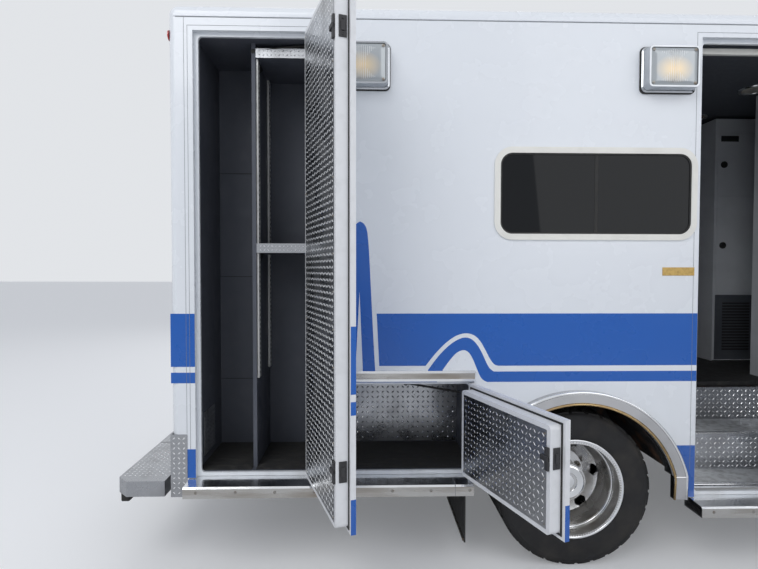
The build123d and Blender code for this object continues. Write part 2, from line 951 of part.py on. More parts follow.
# Drip rail over the lower compartment: a channel with its open side outwards
with BuildPart() as drip_rail:
    with BuildSketch(Plane.YZ.offset(tall_front + drip_set_rear)):
        with BuildLine():
            Polyline(
                (-module_half_width, drip_top),
                (-module_half_width - drip_proud, drip_top),
                (-module_half_width - drip_proud, drip_top - drip_lip),
                (-module_half_width - drip_sheet, drip_top - drip_lip),
                (-module_half_width - drip_sheet, drip_bottom + drip_lip),
                (-module_half_width - drip_proud, drip_bottom + drip_lip),
                (-module_half_width - drip_proud, drip_bottom),
                (-module_half_width, drip_bottom),
                close=True,
            )
        make_face()
    extrude(amount=lower_front + drip_set_front - tall_front - drip_set_rear)
with BuildPart() as arch_flare:
    with BuildSketch(Plane.XZ.offset(module_half_width)):
        with Locations((rear_axle_x, arch_centre_z)):
            Circle(flare_outer_radius)
            Circle(flare_inner_radius, mode=Mode.SUBTRACT)
        panel(
            (rear_axle_x - flare_outer_radius, rear_axle_x + flare_outer_radius),
            (arch_centre_z - flare_outer_radius, rear_skirt_bottom),
            mode=Mode.SUBTRACT,
        )
        panel(
            (rear_axle_x - flare_outer_radius, lower_door.front + flare_clear),
            (rear_skirt_bottom, lower_door.top),
            mode=Mode.SUBTRACT,
        )
    extrude(amount=flare_proud)
    flare_edges = arch_flare.faces().sort_by(Axis.Y)[0].edges().filter_by(GeomType.CIRCLE)
    chamfer(flare_edges, length=flare_proud / 3)
trims = [*both_sides(Compound([*rub_rails, arch_flare.part.solid()])).solids(), drip_rail.part.solid()]
save(Compound(trims), "side_trim")

# Corner guards: bent plate round the lower rear corners
with BuildPart() as corner_guard:
    with BuildSketch(Plane.XY.offset(guard_bottom)):
        with BuildLine():
            Polyline(
                (0, -module_half_width + guard_width),
                (0, -module_half_width),
                (guard_width, -module_half_width),
                (guard_width, -module_half_width - guard_sheet),
                (-guard_sheet, -module_half_width - guard_sheet),
                (-guard_sheet, -module_half_width + guard_width),
                close=True,
            )
        make_face()
    extrude(amount=guard_top - guard_bottom)
save(both_sides(corner_guard.part), "corner_guards")

# Mud flaps behind the rear wheels
with BuildPart() as mud_flap:
    block(
        (flap_x, flap_x + flap_sheet),
        (-inner_half, -tub_inner_half),
        (flap_bottom, lower_door.bottom + door_lip - liner),
    )
save(both_sides(mud_flap.part), "mud_flaps")

step_axis_x = -bumper_space + step_axis_set
step_axis_z = bumper_top - step_eye

# Rear step bumper with chamfered corners and a gap for the folding middle step
bumper_plan = Plane.XY.offset(bumper_top - bumper_thickness)
with BuildPart() as rear_bumper:
    with BuildSketch(bumper_plan):
        with BuildLine():
            Polyline(
                (-bumper_space, flip_half + flip_gap),
                (-bumper_space, module_half_width),
                (-bumper_space - bumper_depth + bumper_chamfer, module_half_width),
                (-bumper_space - bumper_depth, module_half_width - bumper_chamfer),
                (-bumper_space - bumper_depth, flip_half + flip_gap),
                close=True,
            )
        make_face()
        mirror(about=Plane.XZ)
    extrude(amount=bumper_thickness)
    for side in (curb, street):
        arm = sorted((side * (rail_outer_half - rail_width), side * rail_outer_half))
        block((reach_rear, arm_reach), arm, (bracket_bottom, bumper_top - bumper_thickness))
        block((arm_reach - rail_width, arm_reach), arm, (bracket_bottom, rail_bottom))
        with BuildSketch(Plane.XZ.offset(-arm[1])):
            with Locations((step_axis_x, step_axis_z)):
                Circle(step_boss)
            panel((step_axis_x, -bumper_space + 2 * step_eye), (bumper_top - bumper_thickness, step_axis_z))
            with Locations((step_axis_x, step_axis_z)):
                Circle(step_pin + fit_gap, mode=Mode.SUBTRACT)
        extrude(amount=arm[1] - arm[0])
        block(
            (-bumper_space - bumper_depth / 2, -bumper_space - bumper_depth / 2 + rail_width),
            sorted((side * rail_outer_half, side * (flip_half + 2 * rail_width))),
            (bracket_bottom, bumper_top - bumper_thickness),
        )
save(rear_bumper.part, "rear_bumper")

with BuildPart() as flip_step:
    block(
        (-bumper_space - bumper_depth, -bumper_space),
        (-flip_half, flip_half),
        (bumper_top - bumper_thickness + flip_gap, bumper_top),
    )
    for side in (curb, street):
        eye_y = side * (rail_outer_half + fit_gap)
        with BuildSketch(Plane.XZ.offset(-eye_y)):
            with Locations((step_axis_x, step_axis_z)):
                Circle(step_eye)
            panel((-bumper_space, step_axis_x), (step_axis_z - step_eye, step_axis_z + step_eye))
        extrude(amount=-side * step_eye)
        with BuildSketch(Plane.XZ.offset(-eye_y)):
            with Locations((step_axis_x, step_axis_z)):
                Circle(step_pin)
        extrude(amount=side * (rail_width / 2))
save(flip_step.part, "flip_step")

# Ladder frame: two channel rails joined by cross members
rail_front_x = nose_x - bumper_bar_depth
with BuildPart() as frame_rails:
    with BuildSketch(Plane.YZ.offset(rail_rear_x)):
        for side in (curb, street):
            web = side * rail_outer_half
            toe = side * (rail_outer_half - rail_width)
            panel(sorted((toe, web)), (rail_bottom, floor_bottom))
            panel(
                sorted((toe, web - side * rail_sheet)),
                (rail_bottom + rail_sheet, floor_bottom - rail_sheet),
                mode=Mode.SUBTRACT,
            )
    extrude(amount=rail_front_x - rail_rear_x)
    for station in cross_stations:
        block(
            (station, station + rail_width),
            (-rail_outer_half + rail_sheet, rail_outer_half - rail_sheet),
            (floor_bottom - cross_height, floor_bottom - rail_sheet),
        )
    for station in (cab_rear_x + rail_width, cowl_x - 2 * rail_width):
        for side in (curb, street):
            block(
                (station, station + rail_width),
                sorted((side * (rail_outer_half - rail_width), side * rail_outer_half)),
                (floor_bottom, cab_floor_bottom),
            )
save(frame_rails.part, "frame_rails")


# Wheels, each turned about its own axle line
def wheel_plane(axle_x):
    """Upright plane through an axle, its first direction along Y."""
    return Plane(origin=(axle_x, 0, wheel_z), x_dir=(0, 1, 0), z_dir=(1, 0, 0))


def axle_line(axle_x):
    """Centre line of an axle."""
    return Axis((axle_x, 0, wheel_z), (0, 1, 0))


def tyre(axle_x, centre_y):
    """One tyre with bulged walls and a flat tread, seated on the rim's bead."""
    bead_half = tyre_width / 2 - bead_inset
    tread_half = tyre_width / 2 - tread_inset
    bead = bead_radius + fit_gap
    wall_middle = (bead + tyre_radius) / 2
    with BuildPart() as ring:
        with BuildSketch(wheel_plane(axle_x)):
            with BuildLine():
                Polyline(
                    (centre_y - bead_half, bead),
                    (centre_y + bead_half, bead),
                    (centre_y + tyre_width / 2, wall_middle),
                    (centre_y + tread_half, tyre_radius),
                    (centre_y - tread_half, tyre_radius),
                    (centre_y - tyre_width / 2, wall_middle),
                    close=True,
                )
            make_face()
        revolve(axis=axle_line(axle_x))
    return ring.part.solid()


def rim(axle_x, centre_y, disc_y, side):
    """One wheel rim: barrel, flanges outside the beads, and a deep dished disc with hand holes."""
    barrel_half = tyre_width / 2 - bead_inset + flange_seat + rim_sheet
    barrel_in = bead_radius - rim_sheet
    with BuildPart() as turned:
        with BuildSketch(wheel_plane(axle_x)):
            panel((centre_y - barrel_half, centre_y + barrel_half), (barrel_in, bead_radius))
            panel((centre_y - barrel_half, centre_y - barrel_half + rim_sheet), (barrel_in, flange_radius))
            panel((centre_y + barrel_half - rim_sheet, centre_y + barrel_half), (barrel_in, flange_radius))
            with BuildLine():
                Polyline(
                    (disc_y, 0),
                    (disc_y, rim_face),
                    (disc_y + side * rim_web_depth, rim_web),
                    (disc_y + side * rim_neck_depth, rim_neck),
                    (disc_y + side * rim_dish, bead_radius - rim_sheet / 2),
                    (disc_y + side * rim_dish, bead_radius - 2 * rim_sheet),
                    (disc_y + side * rim_neck_depth, rim_neck - rim_sheet),
                    (disc_y + side * (rim_web_depth + rim_sheet), rim_web - rim_sheet),
                    (disc_y + side * rim_sheet, rim_face - rim_sheet / 2),
                    (disc_y + side * rim_sheet, 0),
                    close=True,
                )
            make_face()
        revolve(axis=axle_line(axle_x))
        with BuildSketch(Plane.XZ.offset(-disc_y - side * rim_web_depth / 2)) as hand_hole_ovals:
            with Locations((axle_x, wheel_z)):
                with PolarLocations(hand_hole_ring, hand_holes, start_angle=hand_hole_turn):
                    Rectangle(hand_hole_depth, hand_hole_length)
            chamfer(hand_hole_ovals.vertices(), length=hand_hole_corner)
        extrude(amount=rim_web_depth, both=True, mode=Mode.SUBTRACT)
    return turned.part


def turned_hub(axle_x, stations, radii, side):
    """Hub of stepped round sections, from the middle of the truck outwards."""
    with BuildPart() as hub:
        with BuildSketch(wheel_plane(axle_x)):
            for (start, end), radius in zip(zip(stations, stations[1:]), radii):
                panel(sorted((side * start, side * end)), (0, radius))
        revolve(axis=axle_line(axle_x))
    return hub.part


for side, name in ((curb, "right"), (street, "left")):
    outer_y = side * (rear_track_half + twin_spacing / 2)
    inner_y = side * (rear_track_half - twin_spacing / 2)
    save(Compound([tyre(rear_axle_x, outer_y), tyre(rear_axle_x, inner_y)]), f"rear_tyres_{name}")
    with BuildPart() as rear_rims:
        add(rim(rear_axle_x, outer_y, side * rear_track_half, side))
        add(rim(rear_axle_x, inner_y, side * rear_track_half, -side))
        add(turned_hub(
            rear_axle_x,
            (rear_track_half - drum_depth, rear_track_half, rear_track_half + rear_hub_reach),
            (drum_radius, hub_radius),
            side,
        ))
    save(rear_rims.part, f"rear_rims_{name}")
    front_y = side * front_track_half
    save(tyre(front_axle_x, front_y), f"front_tyre_{name}")
    front_disc = front_track_half + front_disc_offset
    with BuildPart() as front_rim:
        add(rim(front_axle_x, front_y, side * front_disc, -side))
        add(turned_hub(
            front_axle_x,
            (kingpin_half + knuckle_radius + steer_gap + fit_gap, front_disc, front_disc + front_hub_reach),
            (front_drum_radius, front_hub_radius),
            side,
        ))
    save(front_rim.part, f"front_rim_{name}")

# Steering knuckles: an upright kingpin boss between the beam's eyes, and its short spindle
for side, name in ((curb, "right"), (street, "left")):
    with BuildPart() as knuckle:
        with BuildSketch(Plane.XY.offset(wheel_z - knuckle_half_height)):
            with Locations((front_axle_x, side * kingpin_half)):
                Circle(knuckle_radius)
        extrude(amount=2 * knuckle_half_height)
        block(
            (front_axle_x - knuckle_radius, front_axle_x + knuckle_radius),
            sorted((side * kingpin_half, side * (kingpin_half + knuckle_radius + steer_gap))),
            (wheel_z - knuckle_radius, wheel_z + knuckle_radius),
        )
    save(knuckle.part, f"knuckle_{name}")

# Front beam axle with an eye above and below each knuckle
with BuildPart() as front_axle:
    block(
        (front_axle_x - beam_half, front_axle_x + beam_half),
        (-kingpin_half + beam_inset, kingpin_half - beam_inset),
        (wheel_z - beam_drop, wheel_z - beam_drop + beam_height),
    )
    for side in (curb, street):
        for eye_z in (
            wheel_z - knuckle_half_height - eye_height - fit_gap,
            wheel_z + knuckle_half_height + fit_gap,
        ):
            with BuildSketch(Plane.XY.offset(eye_z)):
                with Locations((front_axle_x, side * kingpin_half)):
                    Circle(knuckle_radius)
                panel_y = sorted((side * kingpin_half, side * (kingpin_half - beam_inset)))
                with Locations((front_axle_x, sum(panel_y) / 2)):
                    Rectangle(2 * beam_half, beam_inset)
            extrude(amount=eye_height)
        block(
            (front_axle_x - beam_half, front_axle_x + beam_half),
            sorted((side * (kingpin_half - beam_inset), side * (kingpin_half - beam_inset - eye_height))),
            (wheel_z - knuckle_half_height - eye_height - fit_gap,
             wheel_z + knuckle_half_height + eye_height + fit_gap),
        )
save(front_axle.part, "front_axle")

# Rear axle: a tube with a round differential housing in the middle
with BuildPart() as rear_axle:
    with BuildSketch(wheel_plane(rear_axle_x)):
        tube_end = rear_track_half - drum_depth - fit_gap
        panel((-tube_end, tube_end), (0, axle_radius))
        with BuildLine():
            Polyline(
                (-diff_half, 0),
                (-diff_shoulder, diff_radius - diff_round),
                (-diff_flat, diff_radius),
                (diff_flat, diff_radius),
                (diff_shoulder, diff_radius - diff_round),
                (diff_half, 0),
                close=True,
            )
        make_face()
    revolve(axis=axle_line(rear_axle_x))
save(rear_axle.part, "rear_axle")

# Leaf springs: curved stacks seated on the axles and hung from the rails
spring_bottom_rear = wheel_z + axle_radius
spring_bottom_front = wheel_z - beam_drop + beam_height


def leaf_spring(axle_x, seat_z, reach):
    """One curved spring stack whose middle lies on the axle and whose eyes reach the frame."""
    eye_z = rail_bottom + spring_stack / 2
    with BuildPart() as leaf:
        with BuildSketch(Plane.XZ.offset(spring_half - spring_width / 2)):
            with BuildLine():
                ThreePointArc((axle_x - reach, eye_z), (axle_x, seat_z), (axle_x + reach, eye_z))
                Line((axle_x + reach, eye_z), (axle_x + reach, eye_z + spring_stack / 2))
                ThreePointArc(
                    (axle_x + reach, eye_z + spring_stack / 2),
                    (axle_x, seat_z + spring_stack),
                    (axle_x - reach, eye_z + spring_stack / 2),
                )
                Line((axle_x - reach, eye_z + spring_stack / 2), (axle_x - reach, eye_z))
            make_face()
        extrude(amount=spring_width)
        for end_x in (axle_x - reach, axle_x + reach):
            block(
                (end_x - spring_stack / 2, end_x + spring_stack / 2),
                (-spring_half - spring_width / 2, -rail_outer_half),
                (eye_z, rail_bottom + 2 * spring_stack),
            )
    return leaf.part


springs = [
    leaf_spring(rear_axle_x, spring_bottom_rear, spring_reach).solid(),
    leaf_spring(front_axle_x, spring_bottom_front, front_spring_reach).solid(),
]
save(both_sides(Compound(springs)), "leaf_springs")

# Engine and gearbox as one plain block, the radiator ahead of it, and the propeller shaft
engine_rear = cowl_x + engine_space
engine_front = engine_rear + engine_length
gearbox_rear = engine_rear - gearbox_length
with BuildPart() as engine:
    block((engine_rear, engine_front), (-engine_half, engine_half), (engine_bottom, engine_top))
    block((gearbox_rear, engine_rear), (-gearbox_half, gearbox_half), (gearbox_bottom, gearbox_top))
    for side in (curb, street):
        block(
            (engine_rear + mount_offset, engine_rear + mount_offset + rail_width),
            sorted((side * engine_half, side * (rail_outer_half - rail_sheet))),
            (engine_bottom, engine_bottom + cross_height),
        )
save(engine.part, "engine")

radiator_front = nose_x - radiator_setback
with BuildPart() as radiator:
    block(
        (radiator_front - radiator_depth, radiator_front),
        (-radiator_half, radiator_half),
        (floor_bottom, engine_top),
    )
save(radiator.part, "radiator")

shaft_start = Vector(rear_axle_x + diff_radius - shaft_radius / 2, 0, wheel_z)
shaft_end = Vector(gearbox_rear - fit_gap, 0, (gearbox_bottom + gearbox_top) / 2)
with BuildPart() as drive_shaft:
    with BuildSketch(Plane(origin=shaft_start, z_dir=shaft_end - shaft_start)):
        Circle(shaft_radius)
    extrude(amount=(shaft_end - shaft_start).length - shaft_radius / 2)
    add(rear_axle.part, mode=Mode.SUBTRACT)
save(drive_shaft.part.solids().sort_by(SortBy.VOLUME)[-1], "drive_shaft")

# Exhaust: pipe from the engine, muffler between the rails and a tail pipe to the street side
with BuildPart() as exhaust:
    with BuildSketch(Plane.YZ.offset(muffler_rear)):
        with Locations((exhaust_y, exhaust_z)):
            Circle(muffler_radius)
    extrude(amount=muffler_length)
    with BuildLine():
        FilletPolyline(
            (gearbox_rear, exhaust_y, exhaust_z),
            (tail_pipe_x, exhaust_y, exhaust_z),
            (tail_pipe_x, rail_outer_half, tail_pipe_z),
            (tail_pipe_x, inner_half, tail_pipe_z),
            radius=pipe_bend,
        )
    with BuildSketch(Plane(origin=(gearbox_rear, exhaust_y, exhaust_z), z_dir=(-1, 0, 0))):
        Circle(pipe_radius)
    sweep()
    for hanger_x in (muffler_rear, muffler_rear + muffler_length - pipe_radius):
        block(
            (hanger_x, hanger_x + pipe_radius),
            (exhaust_y, rail_outer_half - rail_sheet),
            (rail_bottom + rail_sheet, rail_bottom + 2 * rail_sheet),
        )
save(exhaust.part, "exhaust")

# Fuel tank strapped between the rails behind the rear axle
with BuildPart() as fuel_tank:
    block((tank_rear, tank_front), (-tank_half, tank_half), (tank_bottom, tank_top))
    fillet(fuel_tank.edges().filter_by(Axis.X), radius=tank_round)
    for strap_x in (tank_rear + tank_round, tank_front - 2 * tank_round):
        block(
            (strap_x, strap_x + tank_round / 2),
            (-rail_outer_half + rail_sheet, rail_outer_half - rail_sheet),
            (tank_top - tank_round, tank_top - tank_round + rail_sheet),
        )
save(fuel_tank.part, "fuel_tank")


# Cab: one outline, drawn in by different insets for the shell, doors and glass


def cab_volume(inset):
    """Solid inside the cab's outline, drawn in by an inset on every side."""
    with BuildPart() as volume:
        with BuildSketch(Plane.XZ):
            with BuildLine():
                Polyline(
                    (cab_rear_x, cab_sill_bottom),
                    (cab_rear_x, cab_top),
                    (cab_rear_x + screen_top_x, cab_top),
                    (cowl_x, cab_belt),
                    (cowl_x, cab_sill_bottom),
                    close=True,
                )
            make_face()
            corners = vertices().sort_by(Axis.Y)[-2:]
            fillet(corners, radius=cab_roof_radius)
            if inset > 0:
                offset(amount=-inset, kind=Kind.INTERSECTION, mode=Mode.REPLACE)
        extrude(amount=2 * cab_half_width, both=True)
        with BuildSketch(Plane.YZ.offset(cab_rear_x)):
            with BuildLine():
                Polyline(
                    (-cab_floor_half, cab_floor_bottom),
                    (-cab_floor_half, cab_sill_bottom),
                    (-cab_half_width, cab_sill_bottom),
                    (-cab_half_width, cab_belt),
                    (-cab_roof_half, cab_top),
                    (cab_roof_half, cab_top),
                    (cab_half_width, cab_belt),
                    (cab_half_width, cab_sill_bottom),
                    (cab_floor_half, cab_sill_bottom),
                    (cab_floor_half, cab_floor_bottom),
                    close=True,
                )
            make_face()
            corners = vertices().sort_by(Axis.Y)[-2:]
            fillet(corners, radius=cab_roof_radius)
            if inset > 0:
                offset(amount=-inset, kind=Kind.INTERSECTION, mode=Mode.REPLACE)
        extrude(amount=cab_length, mode=Mode.INTERSECT)
    return volume.part


def door_outline(grow=0.0):
    """Outline of the cab door on the side plane, grown or drawn in by a distance."""
    rear = cab_rear_x + cab_door_rear_margin
    top = cab_top - cab_door_top_margin
    slope = (cowl_x - cab_rear_x - screen_top_x) / (cab_top - cab_belt)
    top_front = cab_rear_x + screen_top_x - pillar_width + slope * (cab_top - top)
    front = cowl_x - pillar_width
    belt = cab_top - (front - top_front) / slope - cab_door_top_margin
    with BuildSketch(Plane.XZ) as outline:
        with BuildLine():
            Polyline(
                (rear, cab_sill_bottom + cab_sill),
                (rear, top),
                (top_front, top),
                (front, belt),
                (front, cab_sill_bottom + cab_sill),
                close=True,
            )
        make_face()
        if grow != 0:
            offset(amount=grow, kind=Kind.INTERSECTION, mode=Mode.REPLACE)
    return outline.sketch


def door_prism(grow=0.0):
    """Everything within the outline of both cab doors, clear of the floor and sills."""
    with BuildPart() as prism:
        with BuildSketch(Plane.XZ):
            add(door_outline(grow))
        extrude(amount=2 * cab_half_width, both=True)
        block(
            (cab_rear_x, cowl_x),
            (-cab_half_width + cab_wall, cab_half_width - cab_wall),
            (cab_sill_bottom - cab_wall, cab_belt),
            Mode.SUBTRACT,
        )
    return prism.part


def side_window(grow=0.0):
    """Outline of the cab door's window."""
    rear = cab_rear_x + cab_door_rear_margin + window_border
    top = cab_top - cab_door_top_margin - window_border
    slope = (cowl_x - cab_rear_x - screen_top_x) / (cab_top - cab_belt)
    top_front = cab_rear_x + screen_top_x - pillar_width + slope * (cab_top - top) - window_border
    front = top_front + slope * (top - cab_belt - window_border / 2)
    with BuildSketch(Plane.XZ) as outline:
        with BuildLine():
            Polyline(
                (rear, cab_belt + window_border / 2),
                (rear, top),
                (top_front, top),
                (front, cab_belt + window_border / 2),
                close=True,
            )
        make_face()
        if grow != 0:
            offset(amount=grow, kind=Kind.INTERSECTION, mode=Mode.REPLACE)
    return outline.sketch


cab_outer = cab_volume(0)
cab_inner = cab_volume(cab_wall)
behind_skin = cab_volume(cab_skin)
with BuildPart() as curb_side:
    block((cab_rear_x, cowl_x), (-2 * cab_half_width, 0), (cab_sill_bottom, cab_top))
curb_half = curb_side.part
behind_seal = cab_volume(cab_skin + seal_gap)

# Lip of both doorways, which carries the seals
with BuildPart() as doorway_lip:
    add(behind_seal)
    add(cab_inner, mode=Mode.SUBTRACT)
    add(door_prism(cab_door_gap), mode=Mode.INTERSECT)
    add(door_prism(cab_door_gap - cab_door_lip), mode=Mode.SUBTRACT)

with BuildPart() as cab_shell:
    add(cab_outer)
    add(cab_inner, mode=Mode.SUBTRACT)
    with BuildSketch(Plane.YZ.offset(cab_rear_x)):
        panel((-pass_half, pass_half), (pass_bottom, pass_top), door_corner)
    extrude(amount=cab_wall, mode=Mode.SUBTRACT)
    add(door_prism(cab_door_gap), mode=Mode.SUBTRACT)
    add(doorway_lip.part)
    with BuildSketch(Plane.YZ.offset(cab_rear_x + screen_top_x)):
        with BuildLine():
            Polyline(
                (-screen_bottom_half, screen_bottom),
                (-screen_top_half, screen_top),
                (screen_top_half, screen_top),
                (screen_bottom_half, screen_bottom),
                close=True,
            )
        make_face()
    extrude(amount=cab_length, mode=Mode.SUBTRACT)
save(cab_shell.part, "cab_shell")

# Windshield and rear glass, thin layers of the cab's outline inside their openings
with BuildPart() as windshield:
    add(cab_volume(glass_set))
    add(cab_volume(glass_set + screen_glass), mode=Mode.SUBTRACT)
    with BuildSketch(Plane.YZ.offset(cab_rear_x + screen_top_x)):
        with BuildLine():
            Polyline(
                (-screen_bottom_half, screen_bottom),
                (-screen_top_half, screen_top),
                (screen_top_half, screen_top),
                (screen_bottom_half, screen_bottom),
                close=True,
            )
        make_face()
        offset(amount=-fit_gap, kind=Kind.INTERSECTION, mode=Mode.REPLACE)
    extrude(amount=cab_length, mode=Mode.INTERSECT)
with BuildPart() as back_glass:
    with BuildSketch(Plane.YZ.offset(cab_rear_x + glass_set)):
        panel(
            (-pass_half + fit_gap, pass_half - fit_gap),
            (pass_bottom + fit_gap, pass_top - fit_gap),
            door_corner,
        )
    extrude(amount=screen_glass)
save(Compound([windshield.part.solid(), back_glass.part.solid()]), "cab_glass")

# Cab doors: skin, inner frame set back from it, window, pane, and a mirror on two arms
cab_hinge_x = cowl_x - pillar_width + cab_door_gap - cab_hinge_set
with BuildPart() as cab_door:
    add(cab_outer)
    add(behind_skin, mode=Mode.SUBTRACT)
    add(door_prism(), mode=Mode.INTERSECT)
    add(curb_half, mode=Mode.INTERSECT)
with BuildPart() as cab_door_frame:
    add(behind_skin)
    add(cab_inner, mode=Mode.SUBTRACT)
    add(door_prism(-cab_door_step), mode=Mode.INTERSECT)
    add(curb_half, mode=Mode.INTERSECT)
with BuildPart() as cab_door_whole:
    add(cab_door.part)
    add(cab_door_frame.part)
    with BuildSketch(Plane.XZ):
        add(side_window())
    extrude(amount=2 * cab_half_width, mode=Mode.SUBTRACT)
    for hinge_z in cab_hinge_levels:
        with BuildSketch(Plane.XY.offset(hinge_z)):
            with Locations((cab_hinge_x, -cab_half_width - hinge_proud)):
                Circle(hinge_radius)
        extrude(amount=cab_hinge_height)
        block(
            (cab_hinge_x - hinge_leaf, cab_hinge_x),
            (-cab_half_width - hinge_sheet, -cab_half_width),
            (hinge_z, hinge_z + cab_hinge_height),
        )
    handle_x = cab_rear_x + cab_door_rear_margin + handle_set
    block(
        (handle_x, handle_x + handle_length),
        (-cab_half_width - handle_proud, -cab_half_width),
        (cab_belt - cab_handle_drop, cab_belt - cab_handle_drop + cab_handle_height),
    )
    block(
        (mirror_x - mirror_width / 2, mirror_x + mirror_width / 2),
        (-mirror_reach, -mirror_reach + mirror_depth),
        (mirror_bottom, mirror_bottom + mirror_height),
    )
    for arm_z in (mirror_bottom, mirror_bottom + 2 * mirror_arm):
        block(
            (mirror_x - mirror_arm / 2, mirror_x + mirror_arm / 2),
            (-mirror_reach + mirror_depth, -cab_half_width + hinge_sheet),
            (arm_z, arm_z + mirror_arm),
        )
with BuildPart() as cab_pane:
    add(cab_volume(glass_set))
    add(cab_volume(glass_set + screen_glass), mode=Mode.SUBTRACT)
    with BuildSketch(Plane.XZ):
        add(side_window(-fit_gap))
    extrude(amount=2 * cab_half_width, mode=Mode.INTERSECT)
cab_door_right = Compound([cab_door_whole.part.solid(), cab_pane.part.solid()])
save(cab_door_right, "cab_door_right")
save(mirrored(cab_door_right), "cab_door_left")


# Nose: one outline for the hood, fenders and grille surround


def nose_volume(inset):
    """Solid inside the nose's outline, drawn in by an inset on every side."""
    with BuildPart() as volume:
        with BuildSketch(Plane.XZ):
            with BuildLine():
                Polyline(
                    (nose_rear, nose_bottom - inset),
                    (nose_rear, nose_high),
                    (nose_front - nose_round, nose_low),
                    (nose_front, nose_low - nose_round),
                    (nose_front, nose_bottom - inset),
                    close=True,
                )
            make_face()
            if inset > 0:
                offset(amount=-inset, kind=Kind.INTERSECTION, mode=Mode.REPLACE)
        extrude(amount=2 * nose_half, both=True)
        with BuildSketch(Plane.YZ.offset(nose_rear)):
            with BuildLine():
                Polyline(
                    (-nose_half, nose_bottom - 2 * inset),
                    (-nose_half, shoulder_z),
                    (-hood_half, fender_top),
                    (-hood_crown_half, nose_high),
                    (hood_crown_half, nose_high),
                    (hood_half, fender_top),
                    (nose_half, shoulder_z),
                    (nose_half, nose_bottom - 2 * inset),
                    close=True,
                )
            make_face()
            if inset > 0:
                offset(amount=-inset, kind=Kind.INTERSECTION, mode=Mode.REPLACE)
        extrude(amount=nose_front - nose_rear, mode=Mode.INTERSECT)
    return volume.part


nose_rear = cowl_x
nose_front = nose_x - bumper_set_forward
nose_outer = nose_volume(0)
nose_inner = nose_volume(nose_sheet)

hood_axis_x = cowl_x + hood_gap
hood_axis_z = nose_high - hood_hinge_drop
with BuildPart() as hood:
    add(nose_outer)
    add(nose_inner, mode=Mode.SUBTRACT)
    block(
        (cowl_x + hood_gap, nose_front),
        (-hood_half, hood_half),
        (hood_line, nose_high),
        mode=Mode.INTERSECT,
    )
    for side in (curb, street):
        with BuildSketch(Plane.XZ.offset(-side * hood_hinge_half)):
            with Locations((hood_axis_x, hood_axis_z)):
                Circle(hood_gap - fit_gap)
        extrude(amount=hood_hinge_length / 2, both=True)
save(hood.part, "hood")

with BuildPart() as fenders:
    add(nose_outer)
    add(nose_inner, mode=Mode.SUBTRACT)
    block(
        (nose_rear, nose_front),
        (-hood_half - hood_gap, hood_half + hood_gap),
        (nose_bottom - nose_sheet, nose_high),
        mode=Mode.SUBTRACT,
    )
    with BuildSketch(Plane.XZ):
        with Locations((front_axle_x, wheel_z)):
            Circle(front_arch_radius)
    extrude(amount=2 * nose_half, both=True, mode=Mode.SUBTRACT)
    block(
        (nose_front - lamp_depth, nose_front),
        (-nose_half, nose_half),
        (lamp_bottom - fit_gap, lamp_top + fit_gap),
        mode=Mode.SUBTRACT,
    )
    block(
        (nose_x - bumper_bar_depth - hood_gap, nose_front),
        (-nose_half, nose_half),
        (nose_bottom - nose_sheet, front_bumper_top + hood_gap),
        mode=Mode.SUBTRACT,
    )
    for side in (curb, street):
        with BuildSketch(Plane.XZ.offset(-side * arch_liner_half)):
            with Locations((front_axle_x, wheel_z)):
                Circle(front_arch_radius + arch_sheet)
                Circle(front_arch_radius, mode=Mode.SUBTRACT)
            panel(
                (front_axle_x - 2 * front_arch_radius, front_axle_x + 2 * front_arch_radius),
                (-front_arch_radius, nose_bottom),
                mode=Mode.SUBTRACT,
            )
        extrude(amount=-side * (nose_half - nose_sheet / 2 - arch_liner_half))
save(fenders.part, "fenders")

# Cab steps: a folded plate with end cheeks under each door, on two arms from the frame
cab_step_rear = cab_rear_x + cab_step_set_rear
cab_step_front = cowl_x - cab_step_set_front
hang_top = cab_sill_bottom - cab_step_hang
with BuildPart() as cab_step:
    with BuildSketch(Plane.YZ.offset(cab_step_rear)):
        with BuildLine():
            Polyline(
                (-cab_step_back, hang_top),
                (-cab_step_back, cab_step_top - step_sheet),
                (-cab_step_half + step_sheet, cab_step_top - step_sheet),
                (-cab_step_half + step_sheet, cab_step_top - cab_step_lip),
                (-cab_step_half, cab_step_top - cab_step_lip),
                (-cab_step_half, cab_step_top),
                (-cab_step_back - step_sheet, cab_step_top),
                (-cab_step_back - step_sheet, hang_top),
                close=True,
            )
        make_face()
    extrude(amount=cab_step_front - cab_step_rear)
    for cheek_x in (cab_step_rear, cab_step_front - step_sheet):
        with BuildSketch(Plane.YZ.offset(cheek_x)):
            with BuildLine():
                Polyline(
                    (-cab_step_back, hang_top),
                    (-cab_step_back, cab_step_top - cab_step_lip),
                    (-cab_step_half, cab_step_top - cab_step_lip),
                    (-cab_step_half, cab_step_top + cab_step_lip),
                    (-cab_step_back - 2 * cab_step_lip, hang_top),
                    close=True,
                )
            make_face()
        extrude(amount=step_sheet)
    for arm_x in (cab_step_rear + rail_width, cab_step_front - 2 * rail_width):
        block(
            (arm_x, arm_x + rail_width),
            (-cab_step_back, -rail_outer_half),
            (rail_bottom + rail_sheet, rail_bottom + rail_sheet + cab_step_bracket),
        )
save(both_sides(cab_step.part), "cab_steps")

